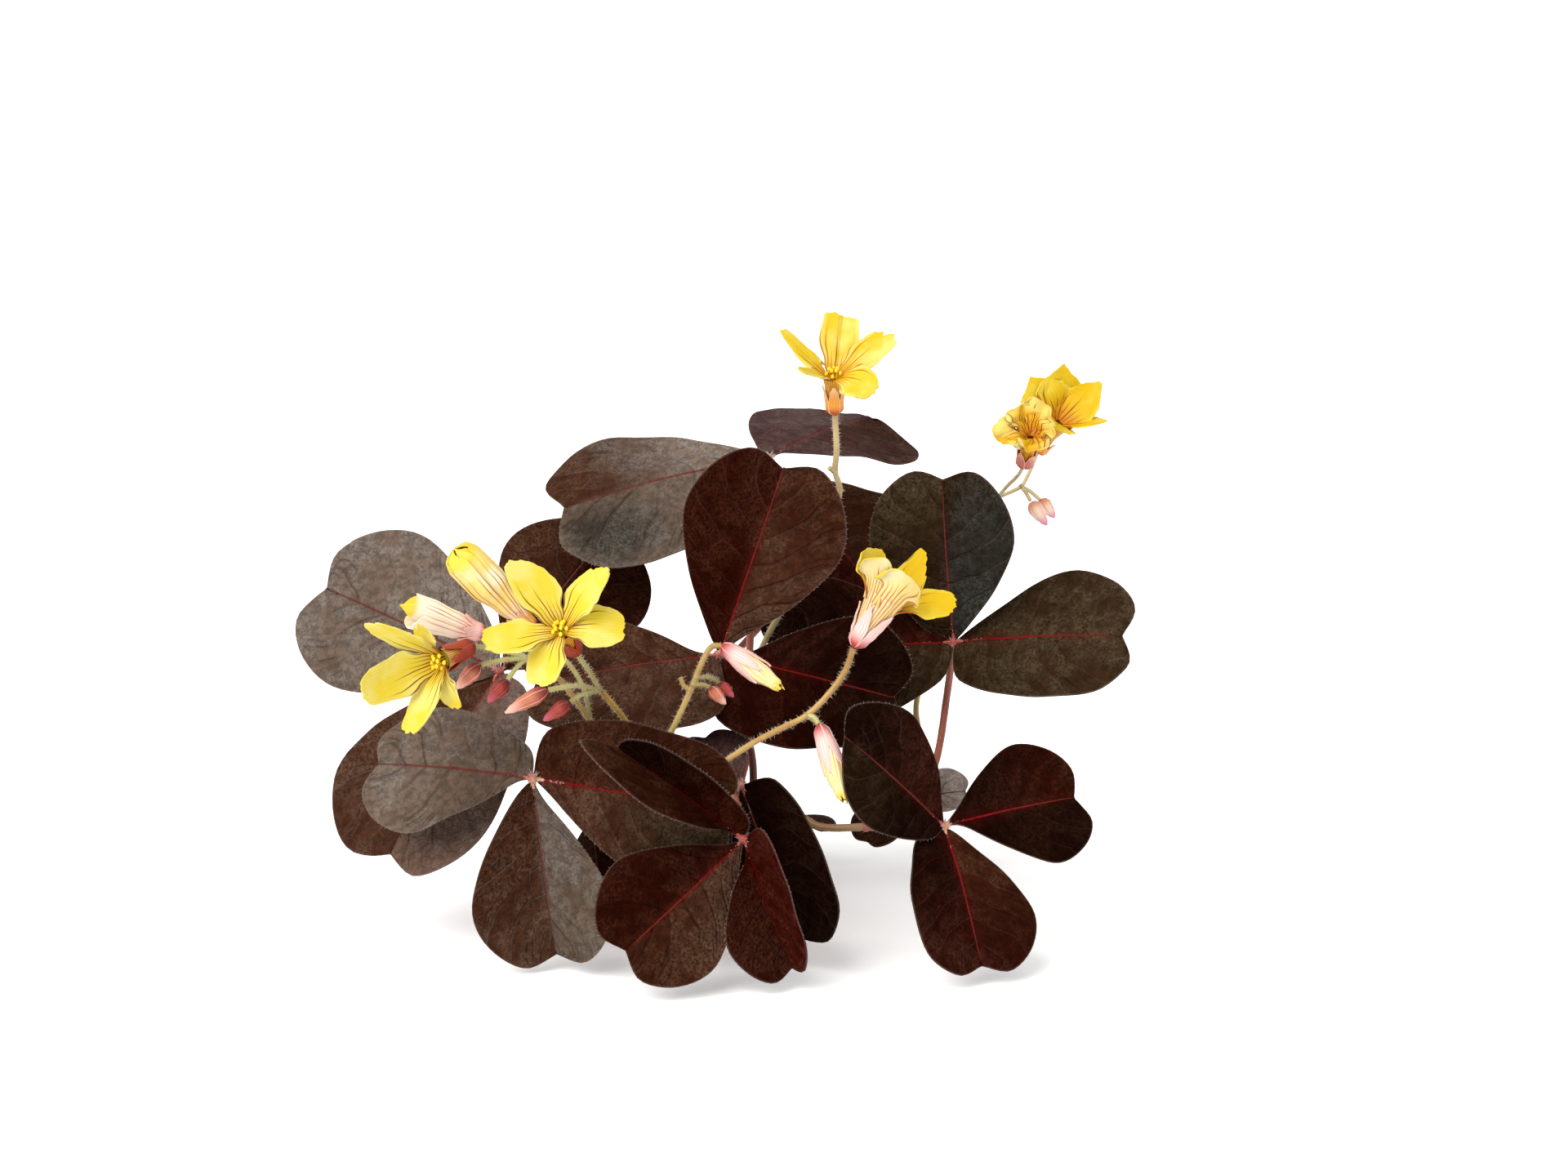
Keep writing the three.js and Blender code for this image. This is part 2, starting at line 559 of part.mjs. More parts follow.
// Stems: each path runs through its points, out of the soil at its root or from a point of another
// path, and ends just short of the leaf, flower or bud that it carries.
const stems = [
  { name: 'stem_left', look: stemLook, paths: [
    { root: [-6.5, -0.5], points: [[-9.5, -2.2, 18.5], [-13.9, -3, 23.5], [-19.9, -1.5, 29.2],
      [-25.4, 0.5, 34.3]],
      ends: 'leaf left' },
    { points: [[-9.5, -2.2, 18.5], [-12.2, -6, 21], [-16, -11.5, 24.2], [-20.5, -18, 27.4]],
      ends: 'leaf front_left' },
    { points: [[-9.5, -2.2, 18.5], [-12.5, -6.5, 18.3], [-14.8, -11.8, 18.8]], ends: 'leaf inner_left' },
  ] },
  { name: 'stem_front', look: stemLook, paths: [
    { root: [4.9, -7.6], points: [[6, -12.4, 20.2]], ends: 'leaf low_front' },
    { points: [[4.9, -7.6, 14.5], [3.4, -12, 19.5], [3, -17.6, 26.2], [4.6, -22.6, 27], [6.2, -26, 23.6]],
      ends: 'leaf front' },
  ] },
  { name: 'stem_centre', look: stemLook, paths: [
    { root: [7.8, -3.2], points: [[8, -3.4, 25], [6.9, -4, 31], [4.4, -5, 38]], ends: 'leaf centre' },
  ] },
  { name: 'stem_top', look: stemLook, paths: [
    { root: [4.6, 3.5], points: [[7, 5, 24], [7.5, 9, 40], [8.4, 10.8, 57]], ends: 'leaf top' },
  ] },
  { name: 'stem_right', look: stemLook, paths: [
    { root: [9, 0.6], points: [[12, -5, 18.6], [14.9, -8.5, 18.6], [18, -10.5, 17.5], [24.5, -12, 17.9],
      [29.3, -10, 17.8]] },
    { points: [[29.3, -10, 17.8], [32.5, -6, 19.8], [35.4, 2, 25], [37, 7.6, 33]], ends: 'leaf right' },
    { points: [[24.5, -12, 17.9], [29.5, -15, 18.4]], ends: 'leaf low_right' },
    { points: [[29.3, -10, 17.8], [30, 3, 16], [30.4, 14, 16]], ends: 'leaf back_right' },
    { points: [[29.3, -10, 17.8], [31, -4, 20.5], [32.8, 8, 26.5], [32.6, 13, 30.2], [35.4, 15, 40.4],
      [40.3, 16, 51.5],
      [44.7, 16, 61.4]], radius: stalkRadius },
    { points: [[44.7, 16, 61.4], [45.8, 14, 63.3], [47.4, 10.6, 65.8]],
      radius: pedicelRadius, ends: 'flower wilted' },
    { points: [[44.7, 16, 61.4], [46.7, 16, 62.3], [48.2, 16, 63.1], [49.4, 16.6, 65]],
      radius: pedicelRadius, ends: 'flower star' },
    { points: [[48.2, 16, 63.1], [49, 15.6, 62.1]], radius: pedicelRadius, ends: 'bud far' },
    { points: [[48.2, 16, 63.1], [49.6, 17, 62.2]], radius: pedicelRadius, ends: 'bud far_back' },
  ] },
  { name: 'stem_back', look: stemLook, paths: [
    { root: [-1, 7.6], points: [[-5, 13.6, 18.8], [-9, 21, 15.5]], ends: 'leaf low_back_left' },
    { points: [[-1, 7.6, 15.6], [3.2, 13.6, 18.8], [7.6, 19, 14.2]], ends: 'leaf low_back_right' },
  ] },
  { name: 'stem_high_back', look: stemLook, paths: [
    { root: [-4.6, 3], points: [[-5.4, 12, 24.5], [-0.5, 18, 30.6], [5.7, 25, 36], [13.2, 31, 43]],
      ends: 'leaf high_back' },
  ] },
  { name: 'stalk_left', look: stalkLook, paths: [
    { root: [-2.6, -7.4], points: [[-6.5, -12.5, 24], [-9.8, -16.5, 34.2], [-11.4, -18, 37],
      [-13.6, -20, 40.2]] },
    { points: [[-13.6, -20, 40.2], [-15, -23, 43.7]], radius: pedicelRadius, ends: 'flower main' },
    { points: [[-13.6, -20, 40.2], [-17, -22.5, 41.5]], radius: pedicelRadius, ends: 'bud low' },
    { points: [[-13.6, -20, 40.2], [-15.9, -22, 40.2]], radius: pedicelRadius, ends: 'bud small_low' },
  ] },
  { name: 'stalk_far_left', look: stalkLook, paths: [
    { root: [-5.4, -5.6], points: [[-10, -11, 24], [-15.3, -15.6, 34.6], [-17.9, -16.5, 38.8],
      [-19.9, -17.5, 41.6],
      [-22.4, -18.5, 43.9], [-24.1, -19.5, 44.8]] },
    { points: [[-15.3, -15.6, 34.6], [-16.2, -16, 39.6], [-18.5, -15.6, 43.3], [-21.1, -16, 45.5]],
      radius: pedicelRadius, ends: 'flower tall' },
    { points: [[-24.1, -19.5, 44.8], [-27.4, -22, 46.5]], radius: pedicelRadius, ends: 'flower left' },
    { points: [[-24.1, -19.5, 44.8], [-27, -22, 45.2]], radius: pedicelRadius, ends: 'bud left' },
    { points: [[-24.1, -19.5, 44.8], [-25.3, -20.5, 43.9]], radius: pedicelRadius, ends: 'bud dark' },
    { points: [[-24.1, -19.5, 44.8], [-27, -19.5, 46.7]], radius: pedicelRadius, ends: 'flower pale' },
  ] },
  { name: 'stalk_centre', look: stalkLook, paths: [
    { root: [-0.7, -4.6], points: [[-3.4, -10.5, 23], [-4.9, -16.8, 30.6], [-3.4, -17.6, 33.9],
      [-0.8, -17, 39.5],
      [1.1, -15.8, 43.9], [2.3, -14.8, 45.5]], radius: stalkRadius, ends: 'flower centre' },
    { points: [[-0.4, -17, 40.3], [1.1, -16.6, 40.2]], radius: pedicelRadius, ends: 'bud twin_left' },
    { points: [[0, -16.7, 41.3], [1.8, -15.4, 41.1]], radius: pedicelRadius, ends: 'bud twin_right' },
    { points: [[-0.8, -17, 39.5], [-1.8, -17, 40.2], [-2.2, -17, 41.4]], radius: pedicelRadius },
  ] },
  { name: 'stalk_right', look: stalkLook, paths: [
    { root: [0.9, -8.6], points: [[0.4, -14, 21], [0.6, -19, 26.6], [1.5, -23, 28.9], [4.8, -23.8, 31.2],
      [8.5, -22.5, 33.3],
      [12.6, -21, 35.1], [15.9, -20, 36.6], [19, -19.5, 39.6], [21.3, -19.5, 42.9]], ends: 'flower right' },
    { points: [[15.9, -20, 36.6], [16.9, -20.5, 36.4]], radius: pedicelRadius, ends: 'flower hanging' },
    { points: [[15.9, -20, 36.6], [18.7, -18, 33.8]], radius: pedicelRadius, ends: 'bud droop' },
  ] },
  { name: 'stalk_top', look: stalkLook, paths: [
    { root: [5.1, -0.6], points: [[5.8, 0, 24], [8, 2.5, 38], [14, 4, 50], [19, 4, 60], [20.8, 3, 65],
      [20.1, 2.5, 67.8],
      [20.3, 2, 71]], ends: 'flower top' },
    { points: [[20.1, 2.5, 67.8], [19.2, 2, 68.5]], radius: pedicelRadius },
  ] },
];

// Where a path ends: the piece's own place, and how far before it the stem stops
function carriedPiece(ends) {
  const [kind, name] = ends.split(' ');
  const named = (list) => list.find((piece) => piece.name === name);
  if (kind === 'leaf') return { place: named(leaves).hub, clear: leafHubRadius + 3 * gap };
  const foot = (named(buds) ?? named(flowers) ?? named(rolledFlowers)).base;
  return { place: foot, clear: 1.5 * gap };
}

function stemPlaces({ root, points, ends }) {
  const foot = root ? [-rootDepth, -rootDepth / 2, 0.6].map((depth) => [...root,
    soilTopHeight + depth]) : [];
  const places = [...foot, ...points];
  if (!ends) return places;
  const { place, clear } = carriedPiece(ends);
  const target = at(place);
  const before = at(places.at(-1));
  return [...places, target.addScaledVector(before.sub(target).normalize(), clear).toArray()];
}

const defaultRadius = (look) => (look === stemLook ? stemRadius : stalkRadius);

function buildStems() {
  for (const { name, look, paths } of stems) {
    const bars = paths.map((path) => tubeSolid(stemPlaces(path), path.radius ?? defaultRadius(look)));
    addPiece(name, fuse(bars), look);
  }
}

// Soil: a low dome with crumbs on it and a plain hole for each stem
function buildSoil() {
  const bottom = potFloor + gap;
  const corners = [
    [0, bottom],
    [potInner(bottom) - gap, bottom],
    [potInner(soilEdgeHeight) - gap, soilEdgeHeight],
    [potInner(soilEdgeHeight) * soilFlat, soilTopHeight - soilDip],
    [0, soilTopHeight],
  ];
  const random = randomFrom(7);
  const pieces = [turnedSolid(corners, soilSegments)];
  for (let i = 0; i < crumbCount; i += 1) {
    const distance = (potInner(soilEdgeHeight) - 2) * Math.sqrt((i + 0.5) / crumbCount);
    const turn = i * crumbTurn + random();
    const crumb = new THREE.IcosahedronGeometry(crumbRadius * (0.7 + 0.4 * random()), 0);
    const height = soilTopHeight - crumbSink - soilFall * distance;
    pieces.push(solidOf(crumb.translate(distance * Math.cos(turn), distance * Math.sin(turn), height)));
  }
  let soil = fuse(pieces);
  for (const { look, paths } of stems) {
    for (const { root } of paths.filter((path) => path.root)) {
      const radius = defaultRadius(look) + gap + rootPlay;
      soil = soil.subtract(uprightPin(...root, soilTopHeight - rootDepth - gap, soilTopHeight + 2, radius));
    }
  }
  addPiece('soil', soil, soilLook);
}

buildPot();
buildSoil();
buildStems();
buildLeaves();
buildFlowers();
buildRolledFlowers();
buildBuds();

export default plant;
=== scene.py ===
# Potted oxalis: wine-dark folded leaves and yellow flowers in a small clay pot, dressed over the CAD frame
import bpy, bmesh, math, random
from mathutils import Matrix, Vector, noise


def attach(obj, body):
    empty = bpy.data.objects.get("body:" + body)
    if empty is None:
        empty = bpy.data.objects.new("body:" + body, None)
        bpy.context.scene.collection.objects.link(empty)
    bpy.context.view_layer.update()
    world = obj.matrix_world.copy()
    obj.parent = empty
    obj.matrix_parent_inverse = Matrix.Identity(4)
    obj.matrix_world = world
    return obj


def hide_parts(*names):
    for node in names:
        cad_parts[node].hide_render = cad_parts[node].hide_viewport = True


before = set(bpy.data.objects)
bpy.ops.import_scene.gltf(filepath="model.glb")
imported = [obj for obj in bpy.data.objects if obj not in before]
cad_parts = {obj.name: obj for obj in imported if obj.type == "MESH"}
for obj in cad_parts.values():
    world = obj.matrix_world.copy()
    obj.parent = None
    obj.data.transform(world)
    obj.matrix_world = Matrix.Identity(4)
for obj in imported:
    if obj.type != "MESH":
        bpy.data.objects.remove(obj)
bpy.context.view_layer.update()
mm = 0.001  # shapes are worked out in millimetres and scaled as each piece is finished
print("frame loaded,", len(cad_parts), "nodes")


# Shared helpers
def acrossOf(axis):  # two directions square to an axis and to each other
    guide = Vector((0, 0, 1)) if abs(axis.z) < 0.9 else Vector((1, 0, 0))
    first = guide.cross(axis).normalized()
    return first, axis.cross(first)


def spoke(across, turn):
    return across[0] * math.cos(turn) + across[1] * math.sin(turn)


def runBetween(base, tip):
    axis = (tip - base).normalized()
    return axis, (tip - base).length, acrossOf(axis)


def mix(low, high, share):
    return low + (high - low) * share


def smooth(share):
    share = min(1.0, max(0.0, share))
    return share * share * (3 - 2 * share)


def profileAt(profile, share):  # eased from each [share, value] pair to the next
    for (here, value), (there, following) in zip(profile, profile[1:]):
        if share <= there:
            return mix(value, following, smooth((share - here) / (there - here)))
    return profile[-1][1]


def hermite(here, there, start, stop, t):  # leaves here along start and reaches there along stop
    return ((here * 2 - there * 2 + start + stop) * t ** 3
            + (there * 3 - here * 3 - start * 2 - stop) * t * t + start * t + here)


def addObject(name, data):
    thing = bpy.data.objects.new(name, data)
    bpy.context.scene.collection.objects.link(thing)
    return thing


def meshFrom(name, bm):
    mesh = bpy.data.meshes.new(name)
    bm.to_mesh(mesh)
    bm.free()
    return mesh


def meshOf(thing):  # the mesh of a curve or of an object with modifiers
    bpy.context.view_layer.update()
    return bpy.data.meshes.new_from_object(thing.evaluated_get(bpy.context.evaluated_depsgraph_get()))


def floatLayers(bm, *names):
    return [bm.verts.layers.float.new(name) for name in names]


def finishPiece(name, bm, looks, nodes, sharp):
    bmesh.ops.scale(bm, vec=(mm, mm, mm), verts=bm.verts)
    mesh = meshFrom(name, bm)
    for look in looks:
        mesh.materials.append(look)
    mesh.polygons.foreach_set("use_smooth", [True] * len(mesh.polygons))
    mesh.set_sharp_from_angle(angle=math.radians(sharp))
    piece = addObject(name, mesh)
    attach(piece, "root")
    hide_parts(*nodes)
    return piece


def paint(verts, slot):
    for vert in verts:
        for face in vert.link_faces:
            face.material_index = slot


def addBall(bm, subdivisions, radius):
    return bmesh.ops.create_icosphere(bm, subdivisions=subdivisions, radius=radius)["verts"]


def addHair(bm, foot, tip, width, slot):  # a three-sided point, open at its foot
    across = acrossOf((tip - foot).normalized())
    ring = [bm.verts.new(foot + spoke(across, math.tau * k / 3) * width / 2) for k in range(3)]
    end = bm.verts.new(tip)
    for k in range(3):
        bm.faces.new((ring[k], ring[(k + 1) % 3], end)).material_index = slot


def addStub(bm, foot, tip, low, high, slot):  # a short tapered peg
    place = Matrix.Translation((foot + tip) / 2) @ (tip - foot).to_track_quat("Z", "Y").to_matrix().to_4x4()
    peg = bmesh.ops.create_cone(bm, segments=10, radius1=low, radius2=high, depth=(tip - foot).length,
                                cap_ends=True, matrix=place)
    paint(peg["verts"], slot)


def openSheet(bm, across, along):  # a grid, each point with its u across (-1 to 1) and its v along (0 to 1)
    grid = bmesh.ops.create_grid(bm, x_segments=across, y_segments=along, size=1)["verts"]
    return [(vert, vert.co.x, (vert.co.y + 1) / 2) for vert in grid]


def facesOf(sheet):
    return list({face for vert, _, _ in sheet for face in vert.link_faces})


def thicken(bm, faces, thickness, frontSlot, backSlot):  # gives an open sheet a back and a rim
    made = bmesh.ops.extrude_face_region(bm, geom=faces, use_keep_orig=True)["geom"]
    bm.normal_update()
    for item in made:
        if isinstance(item, bmesh.types.BMVert):
            item.co += item.normal * thickness
        elif isinstance(item, bmesh.types.BMFace) and len(item.verts) == 4:
            item.material_index = frontSlot
    bmesh.ops.reverse_faces(bm, faces=faces)
    for face in faces:
        face.material_index = backSlot


def closeSheet(bm, sheet, outward, thickness, frontSlot=0, backSlot=0):  # faces it outward and thickens it
    faces = facesOf(sheet)
    bm.normal_update()
    if sum(face.normal.dot(outward) for face in faces) < 0:
        bmesh.ops.reverse_faces(bm, faces=faces)
    thicken(bm, faces, thickness, frontSlot, backSlot)


def spinRound(bm, rings, base, axis, sides, slot):  # rings are [up, out] pairs of an open profile
    first = acrossOf(axis)[0]
    verts = [bm.verts.new(base + axis * up + first * out) for up, out in rings]
    edges = [bm.edges.new(pair) for pair in zip(verts, verts[1:])]
    before = set(bm.faces)
    bmesh.ops.spin(bm, geom=verts + edges, cent=base, axis=axis, dvec=(0, 0, 0), angle=math.tau, steps=sides,
                   use_merge=True)
    made = [face for face in bm.faces if face not in before]
    for face in made:
        face.material_index = slot
    return made


# Materials
def rgb(red, green, blue, dim=0.66):  # a screen colour, 0 to 255, made linear and dimmed for a bright studio
    linear = [c / 255 / 12.92 if c <= 10 else ((c / 255 + 0.055) / 1.055) ** 2.4 for c in (red, green, blue)]
    return tuple(value * dim for value in linear) + (1.0,)


class Look:  # a material with short calls for adding and wiring nodes
    def __init__(self, name):
        self.material = bpy.data.materials.new(name)
        self.material.use_nodes = True
        self.tree = self.material.node_tree
        self.shader = self.tree.nodes["Principled BSDF"]

    def wire(self, socket, value):
        if isinstance(value, bpy.types.NodeSocket):
            self.tree.links.new(value, socket)
        else:
            socket.default_value = value

    def add(self, kind, out=0, settings=None, **inputs):  # an input is named, or numbered as i1, i2 and on
        node = self.tree.nodes.new(kind)
        for key, value in (settings or {}).items():
            setattr(node, key, value)
        for key, value in inputs.items():
            self.wire(node.inputs[int(key[1:]) if key[0] == "i" else key], value)
        return node.outputs[out]

    def math(self, operation, *values):
        node = self.tree.nodes.new("ShaderNodeMath")
        node.operation = operation
        for socket, value in zip(node.inputs, values):
            self.wire(socket, value)
        return node.outputs[0]

    def plus(self, first, *others):
        for other in others:
            first = self.math("ADD", first, other)
        return first

    def minus(self, first, second):
        return self.math("SUBTRACT", first, second)

    def times(self, first, second):
        return self.math("MULTIPLY", first, second)

    def size(self, value):
        return self.math("ABSOLUTE", value)

    def comb(self, run):  # 0 midway between whole numbers and 0.5 at each of them
        return self.size(self.minus(self.math("FRACT", run), 0.5))

    def range(self, value, low, high, start=0.0, end=1.0):
        return self.add("ShaderNodeMapRange", settings={"interpolation_type": "SMOOTHSTEP"}, Value=value,
                        i1=low, i2=high, i3=start, i4=end)

    def blend(self, share, first, second, kind="MIX"):
        node = self.tree.nodes.new("ShaderNodeMix")
        node.data_type, node.blend_type = "RGBA", kind
        for index, value in ((0, share), (6, first), (7, second)):  # the factor and the two colours
            self.wire(node.inputs[index], value)
        return node.outputs[2]

    def number(self, name):
        return self.add("ShaderNodeAttribute", out=2, settings={"attribute_name": name})

    def tint(self, name):
        return self.add("ShaderNodeAttribute", settings={"attribute_name": name})

    def place(self):  # object coordinates
        return self.add("ShaderNodeTexCoord", out=3)

    def noise(self, scale, detail=4.0, roughness=0.55, vector=None):
        return self.add("ShaderNodeTexNoise", Vector=vector or self.place(), Scale=scale, Detail=detail,
                        Roughness=roughness)

    def patches(self, scale, detail, low, high, *ends):
        return self.range(self.noise(scale, detail), low, high, *ends)

    def wobble(self, scale, detail, reach):
        return self.times(self.minus(self.noise(scale, detail), 0.5), reach)

    def cells(self, scale, feature="F1"):
        return self.add("ShaderNodeTexVoronoi", settings={"feature": feature}, Vector=self.place(),
                        Scale=scale)

    def finish(self, colour, height=None, strength=0, distance=0, roughness=0.5, **sockets):
        self.wire(self.shader.inputs["Base Color"], colour)
        self.wire(self.shader.inputs["Roughness"], roughness)
        if height is not None:
            bump = self.add("ShaderNodeBump", Height=height, Strength=strength, Distance=distance * mm)
            self.wire(self.shader.inputs["Normal"], bump)
        for key, value in sockets.items():
            self.wire(self.shader.inputs[key.replace("_", " ")], value)
        return self.material


# Camera at the photo's angle
view = {"place": (12.6, -586.889, 175.66), "aim": (12.6, 0, 50.913), "lens": 93.75, "sensor": 36}
lensData = bpy.data.cameras.new("camera")
lensData.lens, lensData.sensor_width, lensData.sensor_fit = view["lens"], view["sensor"], "HORIZONTAL"
camera = addObject("camera", lensData)
camera.location = Vector(view["place"]) * mm
camera.rotation_euler = (Vector(view["aim"]) - Vector(view["place"])).to_track_quat("-Z", "Y").to_euler()
bpy.context.scene.camera = camera


# Leaves
# Blade tones; each half of a leaflet runs from its first tone at the hub to its second at the tip. The tones
# are partly the leaf's own colour and partly painted light: a half that faces the light has a lighter, greyer
# tone and a shaded half a darker one
tones = {"ink": (27, 8, 2), "wine": (49, 13, 3), "rust": (62, 12, 5), "plum": (50, 17, 8),
         "moss": (40, 26, 9), "chestnut": (62, 31, 17), "olive": (60, 46, 30), "slate": (50, 52, 50),
         "brown": (76, 45, 29), "umber": (80, 51, 37), "mauve": (88, 62, 62), "ash": (105, 90, 78),
         "fawn": (119, 104, 93), "stone": (133, 117, 107), "dusk": (122, 98, 86), "mist": (190, 174, 166)}
ribReds = {"red": 1.0, "pink": 0.45, "faint": 0.12}
leaves = [
  {"name": "centre", "hub": [3.1, -6, 42.3], "leaflets": [
    {"tip": [12.5, -5, 69.6], "face": [0, -1, 0.05], "fold": 18, "full": [0, 0.2],
     "tones": "umber chestnut wine wine", "rib": "red", "net": 0.35},
    {"tip": [-23.8, -4.5, 37.4], "face": [-0.15, -0.75, 0.65], "fold": 8, "wide": [0.78, 0.85],
     "full": [-0.3, 3], "tones": "brown chestnut umber brown"},
    {"tip": [28.8, -1, 34.6], "face": [0.25, -0.9, 0.3], "fold": 22, "wide": [0.9, 0.9], "full": [3, -0.4],
     "tones": "wine ink plum ink", "rib": "red", "net": 0.15},
  ]},
  {"name": "top", "hub": [10.2, 14, 67.7], "leaflets": [
    {"tip": [-20.1, 10, 60.9], "face": [-0.1, -0.55, 0.8], "fold": -8, "wide": [0.95, 1.06],
     "full": [0.2, 1.4], "tones": "stone brown fawn ash", "net": 0.35, "marks": [[0.6, 0.72, 0.22, "slate"]]},
    {"tip": [26.2, 42, 69.2], "face": [0.13, -0.13, 0.98], "fold": -10, "wide": [0.97, 1.09],
     "full": [-0.4, 0.2], "long": [-0.12, 0.05], "tones": "mauve chestnut mauve mauve", "net": 0.4},
    {"tip": [27, 25, 44.6], "face": [0.3, -0.95, -0.25], "fold": 13, "full": [0, -0.4],
     "tones": "rust rust brown brown", "rib": "red", "net": 0.4},
  ]},
  {"name": "left", "hub": [-29.5, 2, 37.9], "leaflets": [
    {"tip": [-55.8, 10, 48.7], "face": [0, -0.8, 0.55], "fold": -3, "wide": [1.08, 1.03], "full": [0.6, 0.4],
     "tones": "stone fawn fawn fawn", "net": 0.4},
    {"tip": [-44.7, -14, 14.4], "face": [-0.3, -0.7, 0.65], "fold": 8, "full": [0.4, 1.4],
     "tones": "brown umber dusk dusk", "net": 0.45},
    {"tip": [-15.1, 17.5, 54.4], "face": [0.05, -0.75, 0.65], "fold": -8, "wide": [1.08, 1.01],
     "full": [0.4, -0.2], "tones": "chestnut wine brown chestnut", "rib": "faint", "net": 0.2},
  ]},
  {"name": "front_left", "hub": [-23.3, -22, 27.8], "leaflets": [
    {"tip": [-46, -14, 27.8], "face": [-0.25, -0.65, 0.7], "fold": -6, "full": [1.2, -0.2],
     "tones": "ash fawn ash fawn", "net": 0.5},
    {"tip": [-20.1, -26, 2.9], "face": [-0.15, -1, 0.15], "fold": 24, "full": [0.4, -0.2],
     "tones": "chestnut umber ash ash", "rib": "faint", "net": 0.35},
    {"tip": [3.9, -25, 24.2], "face": [-0.05, -0.95, 0.2], "wide": [0.98, 0.83], "full": [0, 2],
     "tones": "umber olive chestnut chestnut", "rib": "red", "net": 0.4},
  ]},
  {"name": "front", "hub": [6.9, -28, 20.5], "rib": "red", "leaflets": [
    {"tip": [-10.6, -33.4, 35.1], "face": [0.43, -0.88, 0.19], "fold": 53, "wide": [0.55, 0.97],
     "full": [1.1, -0.4], "long": [-0.05, 0.2], "tones": "wine ink plum chestnut", "net": 0.15},
    {"tip": [-9.5, -39, 7.4], "face": [0.3, -0.9, 0.35], "fold": 7, "full": [-0.2, 0],
     "tones": "plum wine umber chestnut", "net": 0.2},
    {"tip": [13.8, -34.5, 3.4], "face": [-0.35, -0.9, 0.2], "fold": 47, "full": [-0.4, 3],
     "tones": "wine plum rust rust", "net": 0.15},
  ]},
  {"name": "low_front", "hub": [6.5, -19, 26], "leaflets": [
    {"tip": [15.4, -25, 4.7], "face": [-0.4, -0.9, 0.1], "fold": 20, "full": [0, 2],
     "tones": "ink ink ink ink", "rib": "faint", "net": 0.1},
    {"tip": [1.1, -10, 30.7], "face": [0.1, -0.4, 0.9], "fold": 8, "full": [-0.4, 0],
     "tones": "mauve mauve mauve mauve"},
    {"tip": [-1.8, -19, 6.7], "face": [-0.6, -0.75, 0.25], "fold": 24, "full": [0, -0.4],
     "tones": "wine wine wine wine", "rib": "red", "net": 0.2},
  ]},
  {"name": "right", "hub": [37.9, 6, 41.4], "leaflets": [
    {"tip": [35.9, 4, 66.2], "face": [-0.3, -0.95, -0.1], "fold": 16, "wide": [1.09, 1.02],
     "full": [0.2, 0.8], "tones": "slate moss moss olive", "marks": [[-0.6, 0.55, 0.35, "slate"]]},
    {"tip": [62.3, -1.5, 44], "face": [-0.25, -0.65, 0.7], "fold": 3, "full": [1.8, 0],
     "tones": "olive olive olive olive", "rib": "red", "net": 0.36},
    {"tip": [10.8, 7.5, 39.6], "face": [-0.1, -0.9, 0.45], "fold": -4, "wide": [0.93, 1.03], "full": [0, 1.2],
     "tones": "plum ink olive olive", "rib": "red"},
  ]},
  {"name": "low_right", "hub": [35.6, -19, 19.9], "leaflets": [
    {"tip": [21.4, -26, 34.8], "face": [0.59, -0.78, 0.2], "fold": 18, "wide": [0.91, 1.07],
     "full": [0.1, 0.9], "long": [0.04, -0.1], "tones": "plum ink ink moss", "net": 0.18},
    {"tip": [54.9, -11, 22.1], "face": [0.25, -0.75, 0.65], "fold": 1, "wide": [1.04, 1.07],
     "full": [-0.4, 0], "tones": "ink ink ink wine", "rib": "red", "net": 0.15},
    {"tip": [40.6, -32, 2.9], "face": [0.35, -0.7, 0.65], "fold": 10, "full": [1.4, 0.2],
     "tones": "ink plum chestnut plum", "rib": "red"},
  ]},
  {"name": "inner_left", "hub": [-15.5, -15.5, 20.4], "tones": "brown chestnut wine wine", "rib": "faint",
   "net": 0.2, "leaflets": [
    {"tip": [-14, -18, 11], "face": [0, -0.95, 0.25]},
    {"tip": [-9.4, -16.5, 17], "face": [-0.05, -0.95, 0.25]},
    {"tip": [-9.8, -15.5, 25], "face": [-0.3, -0.95, 0.25]},
  ]},
  {"name": "back_right", "hub": [30.5, 26, 11.4], "leaflets": [
    # painted light: this leaflet's pale tone lifts the shade it sits in
    {"tip": [40.6, 25, 13.4], "face": [0.05, -0.55, 0.85], "fold": 10, "tones": "mist mist mist mist"},
    {"tip": [31.6, 37, 9.6], "face": [0, 0, 1], "tones": "brown umber brown umber"},
    {"tip": [25.4, 19, 7], "face": [0.1, -0.35, 0.95], "tones": "brown chestnut brown chestnut"},
  ]},
  {"name": "high_back", "hub": [22.7, 35, 52.5], "tones": "chestnut brown wine chestnut", "fold": 16,
   "leaflets": [
    {"tip": [4.3, 42, 52.5], "face": [0.31, 0.82, 0.47]},
    {"tip": [41.5, 42, 49.9], "face": [-0.24, 0.83, 0.5]},
    {"tip": [23.6, 42, 32.8], "face": [0, 0.94, 0.33]},
  ]},
  {"name": "low_back_left", "hub": [-10.3, 28, 11.8], "tones": "chestnut brown wine chestnut", "leaflets": [
    {"tip": [-21.1, 40, 11.3], "face": [-0.07, -0.02, 1]},
    {"tip": [-3, 42, 8.1], "face": [0.15, 0.18, 0.97]},
    {"tip": [-9.9, 33, 2.5], "face": [0, 0.88, 0.47]},
  ]},
  {"name": "low_back_right", "hub": [9.5, 24, 9.6], "tones": "chestnut brown wine chestnut", "leaflets": [
    {"tip": [18.4, 31, 5.6], "face": [0.25, 0.4, 0.9]},
    {"tip": [3.5, 36, 8], "face": [-0.1, 0.1, 1]},
    {"tip": [11, 28, 1.6], "face": [0, 0.95, 0.35]},
  ]},
]
leafForm = {"across": 12, "along": 34, "thickness": 0.22, "arch": 0.035, "crease": 0.03, "ripple": 0.55,
            "pucker": 0.13, "sideVeins": 7, "ribDip": 0.16, "ribHalf": 0.35, "fullLength": 20, "weld": 0.02}
